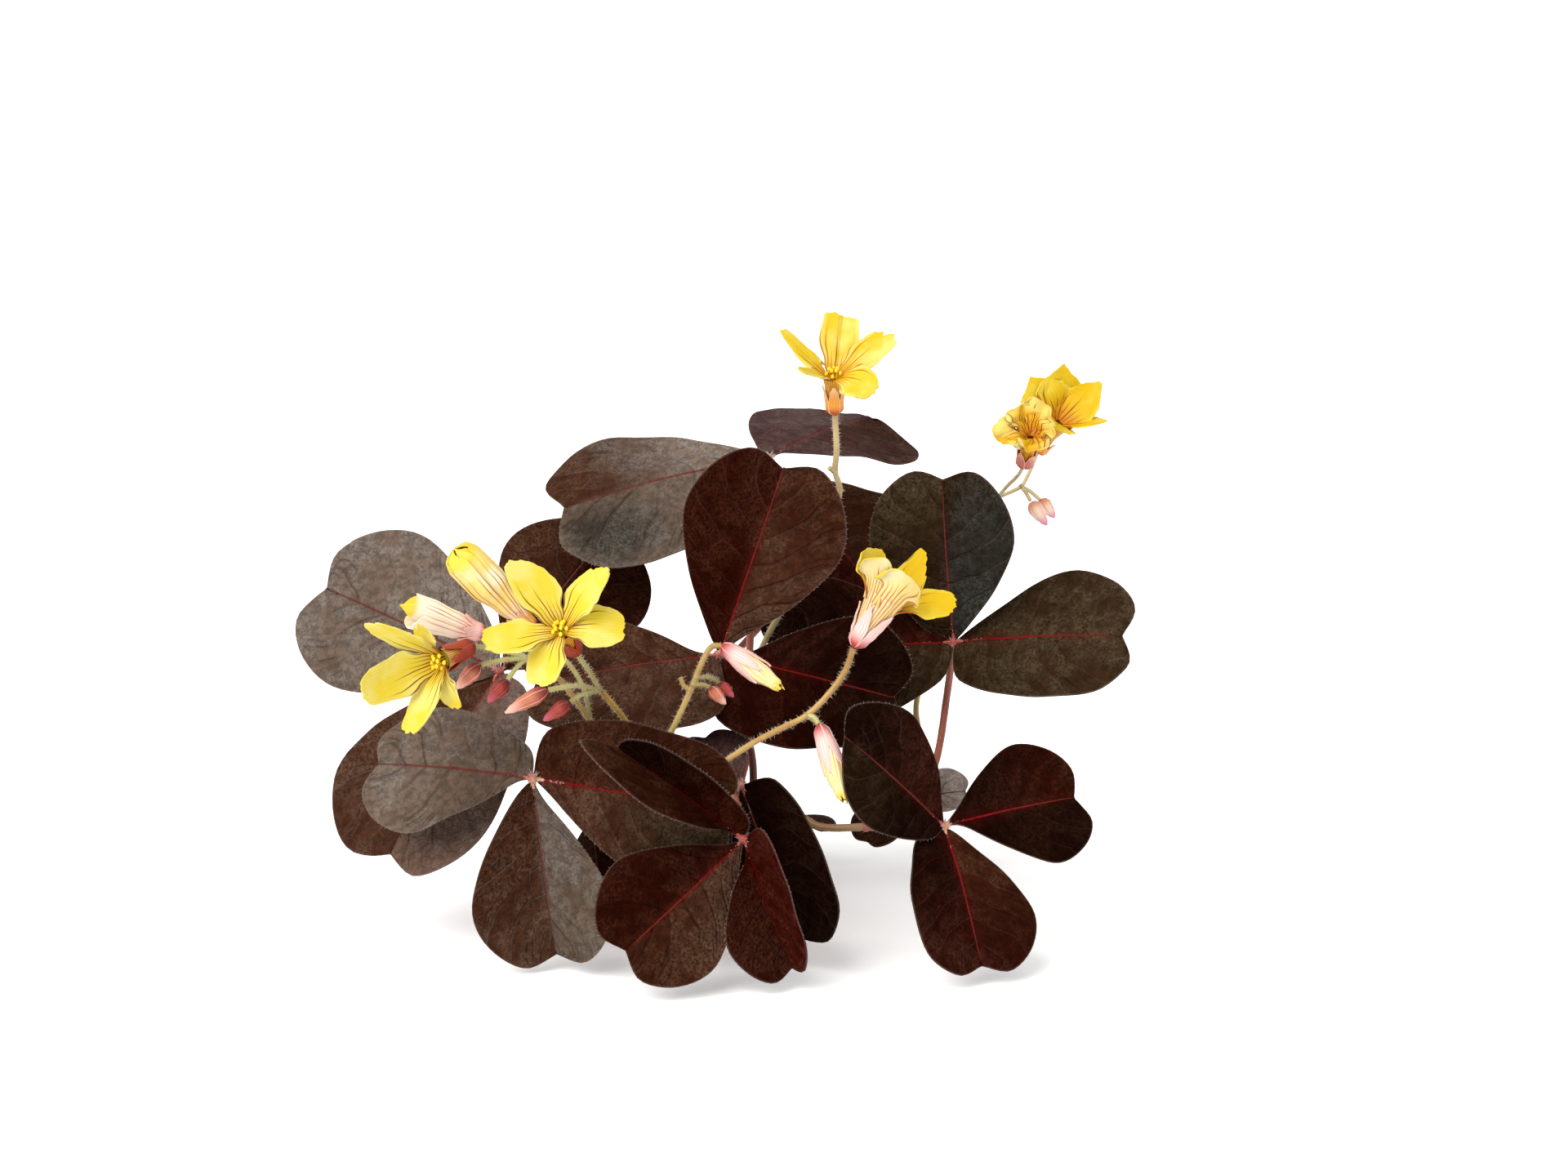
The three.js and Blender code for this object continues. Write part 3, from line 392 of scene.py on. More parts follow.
hubForm = {"radius": 0.8, "hairs": 70, "foot": 0.42, "neck": 0.24, "neckAt": 0.06, "neckHairs": 26}
rimForm = {"perLength": 1.5, "hair": 0.3, "hairWidth": 0.035}
leafletForm = {"fold": 14, "wide": (1, 1), "full": (0, 0), "long": (0, 0), "rib": "pink", "net": 0.3,
               "marks": []}  # what a leaflet has if its row says nothing else
outlineSteps, tableSteps = 24, 100


def outlineTable(wide, full, long):  # half a leaflet's outline from hub to notch, at even arc lengths
    bends = [(0, 0), (0.12 - 0.035 * full, 0.085 * wide + 0.1 * full), (0.38, 0.29 * wide + 0.07 * full),
             (0.68 + 0.35 * long, 0.435 * wide), (0.92 + 0.75 * long, 0.37 * wide),
             (1.06 + long, 0.19 * wide), (1, 0)]
    points = [Vector(bend) for bend in bends]
    padded = [points[0]] + points + [points[-1]]
    line = [hermite(here, there, (there - before) / 2, (after - here) / 2, k / outlineSteps)
            for before, here, there, after in zip(padded, padded[1:], padded[2:], padded[3:])
            for k in range(outlineSteps)] + [points[-1]]
    gone = [0.0]
    for here, there in zip(line, line[1:]):
        gone.append(gone[-1] + (there - here).length)
    table = []
    at = 0
    for k in range(tableSteps + 1):
        wanted = gone[-1] * k / tableSteps
        while at < len(gone) - 2 and gone[at + 1] < wanted:
            at += 1
        table.append(line[at].lerp(line[at + 1], (wanted - gone[at]) / max(1e-9, gone[at + 1] - gone[at])))
    return table


def outlineAt(table, share):
    place = min(tableSteps - 0.001, max(0.0, share * tableSteps))
    low = int(place)
    return table[low].lerp(table[low + 1], place - low)


# Returns a function from u and v to a point, its gaps to rib and rim, and how far along the side veins it is
def leafletPlacer(hub, leaflet):
    tip = Vector(leaflet["tip"])
    length = (tip - hub).length
    along = (tip - hub) / length
    facing = Vector(leaflet["face"])
    up = (facing - along * facing.dot(along)).normalized()
    side = up.cross(along)
    fold = math.radians(leaflet["fold"])
    tables = [outlineTable(*half) for half in zip(leaflet["wide"], leaflet["full"], leaflet["long"])]
    seed = tip * 0.37

    def place(u, v):
        edge = outlineAt(tables[0 if u < 0 else 1], v)
        share = abs(u)
        s = mix(v, edge.x, share)
        t = share * edge.y
        ridge = math.sqrt(t * t + leafForm["crease"] ** 2) - leafForm["crease"]
        height = leafForm["arch"] * 4 * s * (1 - s) + ridge * math.sin(fold)
        aside = math.copysign(t, u) * math.cos(fold) * length
        spot = hub + along * (s * length) + side * aside + up * (height * length)
        drift = 0.5 * noise.noise(seed + Vector((u * 1.5, v * 3, 0)))
        vein = v * leafForm["sideVeins"] - share ** 1.3 + drift
        relief = leafForm["pucker"] * math.cos(math.tau * vein) * -math.sin(math.pi * min(1, share * 1.15))
        relief += leafForm["ripple"] * noise.noise(spot * 0.16 + seed) * (0.3 + 1.2 * share)
        relief -= leafForm["ribDip"] * math.exp(-((t * length / leafForm["ribHalf"]) ** 2))
        lift = relief * min(1.0, length / leafForm["fullLength"])
        return spot + up * lift, t * length, (edge.y - t) * length, vein

    return place, up, along, length


def paintedSheenOf(tone):  # a blade's deep ground colour and its greyer painted sheen, a painted highlight, closer together when pale
    grey = 0.3 * tone[0] + 0.6 * tone[1] + 0.1 * tone[2]
    silver = smooth(grey / 0.07)
    dims = mix(0.74, 0.86, silver), mix(0.6, 0.8, silver), mix(0.5, 0.74, silver)
    casts = 1.06, 1.0, mix(0.6, 0.92, silver)
    share, gain = mix(0.34, 0.6, silver), mix(2.3, 1.34, silver)
    deep = [part * dim for part, dim in zip(tone, dims)]
    paintedSheen = [mix(part, grey * cast, share) * gain for part, cast in zip(tone, casts)]
    return deep + [1.0], paintedSheen + [1.0]


def bladeTone(leaflet, u, v):
    colours = [Vector(rgb(*tones[tone])) for tone in leaflet["tones"].split()]
    far = smooth((v - 0.25) * 1.8)
    shade = colours[0].lerp(colours[1], far).lerp(colours[2].lerp(colours[3], far), smooth(0.5 + u * 4))
    for over, at, reach, tone in leaflet["marks"]:
        near = math.hypot((u - over) * 0.5, v - at) / reach
        shade = shade.lerp(Vector(rgb(*tones[tone])), 0.85 * smooth(1.3 - near))
    return shade


def addRimHairs(bm, place, up, along, length, chance):
    step = 1 / (rimForm["perLength"] * length * 1.3)
    for sign in (-1, 1):
        v = 0.04
        while v < 0.97:
            foot = place(sign, v)[0]
            inner = place(sign * 0.85, v)[0]
            lean = ((foot - inner).normalized() + up * chance.uniform(-0.5, 0.6)
                    + along * chance.uniform(-0.2, 0.7)).normalized()
            reach = rimForm["hair"] * chance.uniform(0.5, 1.3)
            addHair(bm, foot - lean * 0.1, foot + lean * reach, rimForm["hairWidth"], 1)
            v += step * chance.uniform(0.6, 1.4)


def anyDirection(chance):
    return Vector([chance.gauss(0, 1) for _ in range(3)]).normalized()


def buildLeaf(leaf):
    bm = bmesh.new()
    names = "ribGap", "rimGap", "veinRun", "netShow", "ribRed"
    ribKey, rimKey, veinKey, netKey, redKey = floatLayers(bm, *names)
    deepKey, paintedSheenKey = [bm.verts.layers.float_color.new(name) for name in ("bladeDeep", "bladePaintedSheen")]
    hub = Vector(leaf["hub"])
    chance = random.Random(leaf["name"])
    places = []
    for leaflet in leaf["leaflets"]:
        leaflet = {**leafletForm, **leaf, **leaflet}
        place, up, along, length = leafletPlacer(hub, leaflet)
        places.append(place)
        sheet = openSheet(bm, 2 * leafForm["across"], leafForm["along"])
        for vert, u, v in sheet:
            vert.co, ribGap, vert[rimKey], vert[veinKey] = place(u, v)
            vert[ribKey], vert[netKey] = ribGap / (1.7 - v), leaflet["net"]
            vert[redKey] = ribReds[leaflet["rib"]] * (1.15 - 0.6 * v)
            vert[deepKey], vert[paintedSheenKey] = paintedSheenOf(bladeTone(leaflet, u, v))
        faces = facesOf(sheet)
        grid = [vert for vert, _, _ in sheet]
        welded = bmesh.ops.find_doubles(bm, verts=grid, dist=leafForm["weld"])["targetmap"]
        bmesh.ops.weld_verts(bm, targetmap=welded)
        faces = [face for face in faces if face.is_valid]
        bmesh.ops.recalc_face_normals(bm, faces=faces)
        if sum(face.normal.dot(up) * face.calc_area() for face in faces) < 0:
            bmesh.ops.reverse_faces(bm, faces=faces)
        for vert in {vert for face in faces for vert in face.verts}:
            vert.co -= up * (leafForm["thickness"] / 2)
        thicken(bm, faces, leafForm["thickness"], 0, 0)
        addRimHairs(bm, place, up, along, length, chance)
    ball = addBall(bm, 2, hubForm["radius"])
    for vert in ball:
        vert.co = vert.co * (1 + 0.2 * noise.noise(vert.co * 2.2)) + hub
    paint(ball, 2)
    for k in range(hubForm["hairs"]):
        lean = anyDirection(chance)
        foot = hub + lean * (hubForm["radius"] * 0.9)
        addHair(bm, foot, foot + lean * chance.uniform(0.35, 0.9), 0.09, 3 if k % 2 else 1)
    for place in places:
        addStub(bm, hub, place(0, hubForm["neckAt"])[0], hubForm["foot"], hubForm["neck"], 2)
        for _ in range(hubForm["neckHairs"]):
            foot = place(0, 0.05 + 0.12 * chance.random())[0]
            addHair(bm, foot, foot + anyDirection(chance) * 0.55, 0.08, 3)
    finishPiece("leaf_blades_" + leaf["name"], bm, (bladeLook, downLook, pulvinusLook, redDownLook),
                ["leaf_" + leaf["name"]], sharp=60)


def makeBladeLook():
    look = Look("leaf_blade")
    grain = look.noise(2600, 3, 0.7)
    patch = look.noise(250, 3)
    ribGap, rimGap, ribRed = look.number("ribGap"), look.number("rimGap"), look.number("ribRed")
    share = look.math("DIVIDE", ribGap, look.plus(ribGap, rimGap, 0.05))
    run = look.plus(look.number("veinRun"), look.wobble(170, 3, 0.55))
    pillowShade = look.math("FRACT", look.plus(run, 0.5))  # from one side vein to the next; painted shading: each panel is darker just past a vein and lighter towards the next
    field = look.plus(look.noise(80, 3, 0.5), patch, look.times(pillowShade, 0.2))
    field = look.range(look.times(field, 0.455), 0.42, 0.585, 0.08, 1.0)
    # painted sheen: sparse grain glints of the greyer tone over the deep ground colour stand in for
    # highlights
    paintedSheen = look.times(look.range(grain, 0.34, 0.64), field)
    colour = look.blend(paintedSheen, look.tint("bladeDeep"), look.tint("bladePaintedSheen"))
    colour = look.blend(1.0, colour, look.patches(900, 3, 0.36, 0.64, 0.8, 1.2), "MULTIPLY")
    sideVein = look.comb(run)
    forks = look.times(look.range(look.comb(look.times(run, 2)), 0.09, 0.02), look.range(share, 0.45, 0.75))
    creaseDepthAndShade = look.math("MAXIMUM", look.range(sideVein, 0.09, 0.015), look.times(forks, 0.8))
    creaseDepthAndShade = look.times(creaseDepthAndShade, look.range(share, 1.0, 0.8))
    creaseDepthAndShade = look.times(creaseDepthAndShade, look.patches(110, 2, 0.4, 0.58))
    # painted shade: the side-vein creases and their forks are darkened, and the same mask sinks them in the
    # bump
    colour = look.blend(look.times(creaseDepthAndShade, 0.38), colour, rgb(16, 5, 3))
    net = look.range(look.cells(640, "DISTANCE_TO_EDGE"), 0.09, 0.01)
    web = look.math("MAXIMUM", look.range(sideVein, 0.045, 0.01), look.times(net, 0.45))
    web = look.times(look.times(web, look.number("netShow")), look.patches(150, 2, 0.36, 0.6, 0.2, 1.0))
    webTone = look.blend(ribRed, rgb(140, 124, 112), rgb(112, 30, 22))
    colour = look.blend(look.times(web, 0.58), colour, webTone)
    rib = look.range(ribGap, 0.21, 0.05)
    ribTone = look.blend(ribRed, rgb(110, 66, 58), rgb(140, 24, 26))
    colour = look.blend(look.times(rib, 0.9), colour, ribTone)
    glow = look.times(look.range(ribGap, 1.6, 0.2), look.times(ribRed, 0.08))
    colour = look.blend(glow, colour, rgb(120, 20, 24))
    # painted rim light: a pale line along each leaf margin
    colour = look.blend(look.times(look.range(rimGap, 0.22, 0.0), 0.16), colour, rgb(176, 150, 138))
    height = look.plus(look.times(grain, 1.1), look.times(patch, 0.9))
    height = look.minus(height, look.times(look.plus(creaseDepthAndShade, rib), 1.2))
    height = look.minus(height, look.times(net, 0.6))
    roughness = look.range(grain, 0.3, 0.7, 0.4, 0.62)
    return look.finish(colour, height, 0.9, 0.16, roughness, Specular_IOR_Level=0.01)


def makeDownLook(name, colour):
    look = Look(name)
    tone = look.blend(look.noise(300, 2), rgb(*colour), (0.9, 0.88, 0.84, 1))
    return look.finish(tone, roughness=0.6, Subsurface_Weight=0.2)


def makePulvinusLook():
    look = Look("leaf_joint")
    tone = look.blend(look.patches(260, 3, 0.4, 0.62), rgb(176, 66, 52), rgb(230, 180, 142))
    return look.finish(tone, look.noise(1400), 0.6, 0.1, 0.55)


bladeLook = makeBladeLook()
downLook = makeDownLook("pale_down", (188, 172, 160))
redDownLook = makeDownLook("red_down", (196, 60, 52))
pulvinusLook = makePulvinusLook()
for leaf in leaves:
    buildLeaf(leaf)
print("leaves done")


# Flowers: foot of the calyx, middle of the throat, then for each petal its tip, width and how blunt it ends
flowers = [
  {"name": "main", "base": [-16.8, -26.5, 47.4], "mouth": [-18.6, -32.5, 52.1], "calyx": "russet",
   "sepals": 5.6, "tubeLook": "amber", "petals": [
    {"tip": [-24.3, -33.5, 62.2], "width": 6.2, "blunt": 0.16, "skew": 0.1},
    {"tip": [-12.4, -33, 61], "width": 5.2, "blunt": 0.26, "skew": -0.1},
    {"tip": [-9.6, -32, 51.7], "width": 6.8, "blunt": 0.18},
    {"tip": [-21.2, -35, 44.3], "width": 5.8, "blunt": 0.18},
    {"tip": [-29.4, -36, 50.7], "width": 5.4, "blunt": 0.2},
  ]},
  {"name": "left", "base": [-31.4, -25, 47.9], "mouth": [-35.7, -30.5, 46.9], "calyx": "russet",
   "sepals": 6.2, "tubeLook": "amber", "petals": [
    {"tip": [-44.8, -35, 53.5], "width": 4.6, "blunt": 0.2},
    {"tip": [-38.3, -30, 52.2], "width": 3.6, "blunt": 0.3, "ragged": 0.1},
    {"tip": [-46.1, -38, 44.2], "width": 6.4, "blunt": 0.2},
    {"tip": [-39.7, -36, 37.6], "width": 5, "blunt": 0.2},
    {"tip": [-33.2, -31, 40.2], "width": 4.2, "blunt": 0.3},
  ]},
  {"name": "top", "base": [20, 2.1, 76.6], "mouth": [19.8, 0.8, 82.5], "calyx": "amber", "tubeLook": "amber",
   "colour": "marigold", "petals": [
    {"tip": [21.1, 6, 90.6], "width": 6, "blunt": 0.03, "skew": 0.02, "facing": 0.7, "ragged": 0.02,
     "fold": 0.5},
    {"tip": [28.4, 3, 88.2], "width": 4.6, "blunt": 0.16, "facing": 0.75, "ragged": 0.05},
    {"tip": [25.9, -5.5, 80.9], "width": 5.8, "blunt": 0.25, "facing": 0.6},
    {"tip": [14.7, -6, 84], "width": 3, "blunt": 0.3, "facing": 0.2},
    {"tip": [12.2, 2, 89], "width": 2.9, "blunt": 0.6, "facing": 0.4, "ragged": 0.02},
  ]},
  {"name": "right", "base": [22.6, -20, 46.7], "mouth": [27.5, -19, 54.4], "calyx": "rose", "throat": 3.1,
   "tube": 1.5,
   "profile": [(0.9, 0.02), (0.95, 0.5), (1.2, 1.15), (2.6, 1.6), (4.6, 2), (6.6, 2.5), (8.2, 3)],
   "stamens": 0, "root": (2.42, 2.6), "sepals": 6.2, "slim": 0.7, "colour": "golden", "petals": [
    {"tip": [24.6, -17, 60.4], "width": 6, "blunt": 0.25, "facing": 0.5, "foot": 0.62, "curl": -0.6},
    {"tip": [33.3, -13.5, 58.2], "width": 5, "blunt": 0.3, "ragged": 0.08, "skew": 0.2, "facing": 0.8,
     "foot": 0.66},
    {"tip": [37.2, -18, 52.2], "width": 4.6, "blunt": 0.2, "facing": 0.85, "foot": 0.66},
    {"tip": [30.4, -23, 57.6], "width": 7.2, "blunt": 0.5, "facing": -0.7, "foot": 0.55, "rise": 1.6,
     "curl": 0.5},
    {"tip": [25.4, -22.5, 60], "width": 5.4, "blunt": 0.4, "facing": -0.7, "foot": 0.7, "rise": 1.6},
  ]},
  {"name": "star", "base": [50.7, 16.7, 68.4], "mouth": [54, 14.5, 73.7], "calyx": "amber",
   "colour": "golden", "throat": 2.3, "stamens": 0, "pointed": True, "sepals": 2.4, "tubeLook": "amber",
   "petals": [
    {"tip": [54.5, 17.5, 81.8], "width": 8.6, "facing": 0.3},
    {"tip": [59.9, 15, 79.6], "width": 6.6, "facing": 0.2},
    {"tip": [60.8, 12, 73.6], "width": 5.6},
    {"tip": [51.6, 8.5, 73.2], "width": 7},
    {"tip": [49.3, 15.5, 79.9], "width": 9, "facing": 0.7},
  ]},
  {"name": "wilted", "base": [48.1, 7.4, 67.9], "mouth": [48.9, 4, 73.2], "calyx": "dusky", "colour": "worn",
   "sepals": 3.3, "tubeLook": "amber", "crumple": 1.1, "stamens": 0, "petals": [
    {"tip": [43.4, 1, 73.2], "width": 5.6},
    {"tip": [46.9, 5, 77.2], "width": 6.2},
    {"tip": [50.3, 7, 77.7], "width": 5},
    {"tip": [52.2, 4, 74.8], "width": 4.2},
    {"tip": [49.3, 0, 71.4], "width": 5},
  ]},
]
flowerForm = {"throat": 1.9, "tube": 1.0, "stamens": 10, "sepals": 4.8, "slim": 1, "crumple": 0.0,
              "pointed": False, "colour": "lemon", "tubeLook": "cream"}
petalForm = {"across": 10, "along": 24, "thickness": 0.22, "cup": 0.22, "rootDepth": 1.0, "bend": 1.2,
             "rise": 0.7, "ruffle": 0.24, "ragged": 0.035, "blunt": 0.3, "foot": 0.3, "curl": 0.0, "fold": 0,
             "facing": 0}  # facing turns the upper face to the plant's front, or the back if below 0
tubeForm = {"start": 1.25, "waist": 3.2, "sides": 40, "wall": 0.25, "lining": 2.2}
stamenForm = {"foot": 3.2, "width": 0.26, "knob": 0.3}
calyxForm = {"count": 5, "thickness": 0.16, "clear": 0.2, "across": 6, "along": 14, "hairs": 16, "knob": 0.62,
             "widths": [(0, 1.0), (0.45, 1.04), (0.8, 0.6), (1, 0.06)]}
rolledFlowers = [
  {"name": "pale", "base": [-30.3, -19, 48.3], "tip": [-41.8, -23, 53.2], "colour": "cream", "open": 0.84,
   "twist": 0.5, "calyx": "rose", "sepals": 3.6,
   "profile": [(0, 1.0), (0.3, 1.75), (0.62, 2.25), (0.84, 2.3), (1, 1.3)]},
  {"name": "tall", "base": [-23.4, -17, 48.7], "tip": [-34.2, -20, 60.8], "colour": "peach", "open": 1.0,
   "twist": 0.45, "calyx": "amber", "sepals": 3.6,
   "profile": [(0, 0.9), (0.3, 1.8), (0.55, 2.65), (0.84, 2.6), (0.94, 2.1), (1, 0.1)]},
  {"name": "centre", "base": [3.8, -14.5, 45.5], "tip": [12.6, -18, 39.8], "colour": "pink", "open": 0.93,
   "twist": 0.7, "calyx": "rose", "sepals": 7.2,
   "profile": [(0, 0.9), (0.3, 1.35), (0.55, 1.3), (0.85, 0.75), (1, 0.3)]},
  {"name": "hanging", "base": [17.7, -22, 35.5], "tip": [21.4, -29.5, 26], "colour": "pink", "open": 0.93,
   "twist": 0.7, "calyx": "rose", "sepals": 7.6,
   "profile": [(0, 0.9), (0.3, 1.25), (0.6, 1.3), (0.85, 0.8), (1, 0.3)]},
]
rolledForm = {"count": 5, "across": 14, "along": 26, "thickness": 0.16}
buds = [
  {"name": "low", "base": [-21.1, -24, 41.2], "tip": [-26.8, -26, 38.4], "radius": 1.0},
  {"name": "small_low", "base": [-18, -23, 39.1], "tip": [-21.5, -24, 36.8], "radius": 0.9, "look": "dark"},
  {"name": "left", "base": [-30.6, -24, 44.8], "tip": [-33.7, -25, 41.7], "radius": 1.05},
  {"name": "dark", "base": [-26.9, -21, 41.8], "tip": [-29.5, -22, 39], "radius": 0.95, "look": "dark"},
  {"name": "twin_left", "base": [2, -16, 39.6], "tip": [4.2, -17, 37.5], "radius": 0.8},
  {"name": "twin_right", "base": [3.4, -14, 39.8], "tip": [5.3, -15, 38.1], "radius": 0.7, "look": "dark"},
  {"name": "droop", "base": [20.3, -16, 29.6], "tip": [21.9, -17, 25.9], "radius": 0.8},
  {"name": "far", "base": [49.7, 15, 60.8], "tip": [52, 14, 57.6], "radius": 0.95, "look": "pale"},
  {"name": "far_back", "base": [51.3, 18, 60.6], "tip": [53.4, 18, 58], "radius": 0.9, "look": "pale"},
]
budForm = {"count": 5, "across": 10, "along": 18, "thickness": 0.12, "hairs": 40,
           "profile": [(0, 0.3), (0.1, 0.8), (0.28, 1.0), (0.55, 0.82), (0.82, 0.46), (1, 0.06)]}
plantFront = Vector((0, -0.98, 0.2))


def petalSpine(base, mouth, petal, flower):  # returns a function from t to a point, its side and inner way
    tip, throat, facing = Vector(petal["tip"]), flower["throat"], petal["facing"]
    axis = (mouth - base).normalized()
    reach = tip - mouth
    outward = (reach - axis * reach.dot(axis)).normalized()
    rootOut, rootDepth = flower.get("root", (throat * 0.34, petal["rootDepth"]))
    root = mouth + outward * rootOut - axis * rootDepth
    bend = mouth + outward * (throat + petal["bend"] * 0.6) + axis * petal["bend"] * petal["rise"]
    side = axis.cross(outward)

    def spine(t):
        spot = root * (1 - t) ** 2 + bend * (2 * t * (1 - t)) + tip * t * t
        run = ((bend - root) * (1 - t) + (tip - bend) * t).normalized()
        goal = plantFront.cross(run).normalized() * math.copysign(1, facing)
        turn = math.atan2(side.cross(goal).dot(run), side.dot(goal))
        across = Matrix.Rotation(turn * abs(facing) * smooth(t * 1.6), 3, run) @ side
        return spot, across, across.cross(run)

    return spine


def addPetal(bm, keys, base, mouth, petal, flower, chance):
    spine = petalSpine(base, mouth, petal, flower)
    skew = petal.get("skew", chance.uniform(-0.06, 0.06))
    crumple, pointed = flower["crumple"], flower["pointed"]
    seed = Vector([chance.uniform(-50, 50) for _ in range(3)])
    widths = [(0, petal["foot"]), (0.35, 0.6), (0.72, 1.0), (1, 0.88)]
    if pointed:
        widths = [(0, 0.6), (0.6, 1.0), (1, 0.84)]

    def stir(x, y, z=0):
        return noise.noise(Vector((x, y, z)) + seed)

    sheet = openSheet(bm, 2 * petal["across"], petal["along"])
    for vert, u, v in sheet:
        end = abs(u) ** 1.15 if pointed else 1 - math.sqrt(max(0.0, 1 - abs(u) ** 3))
        t = v * (1 - petal["blunt"] * end * smooth((v - 0.25) * 2)) * (1 + skew * u * v)
        t -= petal["ragged"] * smooth((v - 0.8) * 5) * (0.5 + stir(u * 3.1, 0) + 0.6 * stir(u * 8, 5))
        spot, side, inner = spine(min(1.03, t))
        half = petal["width"] / 2 * profileAt(widths, v)
        lift = petal["ruffle"] * stir(u * 1.3, v * 2.6) * v * (0.4 + abs(u))
        lift += crumple * stir(u * 1.7, v * 3.4, 3) * (0.3 + v)
        lift += petal["fold"] * math.exp(-((u + 0.1) * 5) ** 2) * smooth(v * 1.4)
        lift += 0.05 * math.cos(u * 15) * (1 - v) + petal["curl"] * smooth((v - 0.5) * 2) * v
        lift -= petal["cup"] * half * abs(u) ** 1.6 * (1 - 0.5 * v)
        vert.co = spot + side * (u * half + crumple * 0.5 * stir(u * 2, v * 4, 9)) + inner * lift
        vert[keys[0]], vert[keys[1]] = u, v
    closeSheet(bm, sheet, -spine(0.6)[2], petal["thickness"], 0, 1)


def tubeOf(flower, length):  # the funnel's profile as [up, out] pairs
    if "profile" in flower:
        return flower["profile"]
    start, waist, throat, tube = tubeForm["start"], tubeForm["waist"], flower["throat"], flower["tube"]
    return [(start, 0.02), (start + 0.05, 0.4), (start + 0.4, tube), (waist, tube * 1.12),
            (mix(waist, length, 0.5), mix(tube * 1.12, throat, 0.36)), (length - 0.7, throat - 0.35),
            (length - 0.35, throat - 0.15)]


def addThroat(bm, keys, base, mouth, flower):
    axis, length, across = runBetween(base, mouth)
    outer, deep = tubeOf(flower, length), length - tubeForm["lining"]
    lining = [(max(tubeForm["start"] + 0.2, deep), 0.02)]
    lining += [(up + 0.1, max(0.05, out - tubeForm["wall"])) for up, out in outer if up + 0.1 > deep]
    faces = spinRound(bm, outer, base, axis, tubeForm["sides"], 2)
    faces += spinRound(bm, lining, base, axis, tubeForm["sides"], 0)
    for vert in {vert for face in faces for vert in face.verts}:
        spot = vert.co - base
        wave = abs(2 * (math.atan2(spot.dot(across[0]), spot.dot(across[1])) * 5 / math.tau % 1) - 1)
        vert[keys[0]], vert[keys[1]] = 0.42 * (2 * wave - 1), spot.dot(axis) / length


def addStamens(bm, base, mouth, count, chance):  # short and tall in turn
    axis, length, across = runBetween(base, mouth)
    for k in range(count):
        lean = spoke(across, math.tau * k / count + chance.uniform(-0.15, 0.15))
        tall = length + (0.9 if k % 2 else 0.1) + chance.uniform(-0.2, 0.2)
        head = base + axis * tall + lean * (0.6 if k % 2 else 1.05)
        addHair(bm, base + axis * (length - stamenForm["foot"]) + lean * 0.3, head, stamenForm["width"], 3)
        knob = addBall(bm, 1, stamenForm["knob"])
        for vert in knob:
            vert.co = Vector((vert.co.x, vert.co.y, vert.co.z * 1.3)) + head
        paint(knob, 3)


def buildCorolla(flower):
    bm = bmesh.new()
    keys = floatLayers(bm, "petalAcross", "petalAlong")
    chance = random.Random(flower["name"])
    base, mouth = Vector(flower["base"]), Vector(flower["mouth"])
    for petal in flower["petals"]:
        addPetal(bm, keys, base, mouth, {**petalForm, **petal}, flower, chance)
    addThroat(bm, keys, base, mouth, flower)
    addStamens(bm, base, mouth, flower["stamens"], chance)
    looks = (petalLooks[flower["colour"]], petalBackLook, tubeLooks[flower["tubeLook"]], stamenLook)
    finishPiece("petals_" + flower["name"], bm, looks, ["corolla_" + flower["name"]], sharp=70)


def buildCalyx(flower, tip, body):  # sepals that hug a body given as [up, out] pairs
    bm = bmesh.new()
    keys = floatLayers(bm, "sepalAcross", "sepalAlong")
    chance = random.Random(flower["name"])
    base, count = Vector(flower["base"]), calyxForm["count"]
    axis, _, across = runBetween(base, tip)
    for k in range(count):
        flare, reach = chance.uniform(0.0, 0.22), chance.uniform(0.92, 1.06)
        sheet = openSheet(bm, 2 * calyxForm["across"], calyxForm["along"])
        for vert, u, v in sheet:
            spread = profileAt(calyxForm["widths"], v) * mix(1, flower["slim"], v)
            up = flower["sepals"] * reach * v ** 1.1
            hug = profileAt(body, max(up, body[2][0])) + calyxForm["clear"]
            out = mix(0.3, hug, smooth(0.25 + v * 4) if v else 0.1)
            out += 0.05 * u + 0.08 * (1 - u * u) * v + flare * smooth((v - 0.5) * 2)
            vert.co = base + axis * up + spoke(across, (math.tau * k + u * spread * math.pi) / count) * out
            vert[keys[0]], vert[keys[1]] = u, v
        outward = spoke(across, math.tau * k / count)
        closeSheet(bm, sheet, outward, calyxForm["thickness"])
        for _ in range(calyxForm["hairs"]):
            foot = chance.choice(sheet)[0].co
            addHair(bm, foot, foot + (outward + axis * 0.4).normalized() * chance.uniform(0.25, 0.5), 0.05, 1)
    for vert in addBall(bm, 2, calyxForm["knob"]):
        vert.co += base + axis * 0.35
    finishPiece("sepals_" + flower["name"], bm, (sepalLooks[flower["calyx"]], downLook),
                ["calyx_" + flower["name"]], sharp=60)


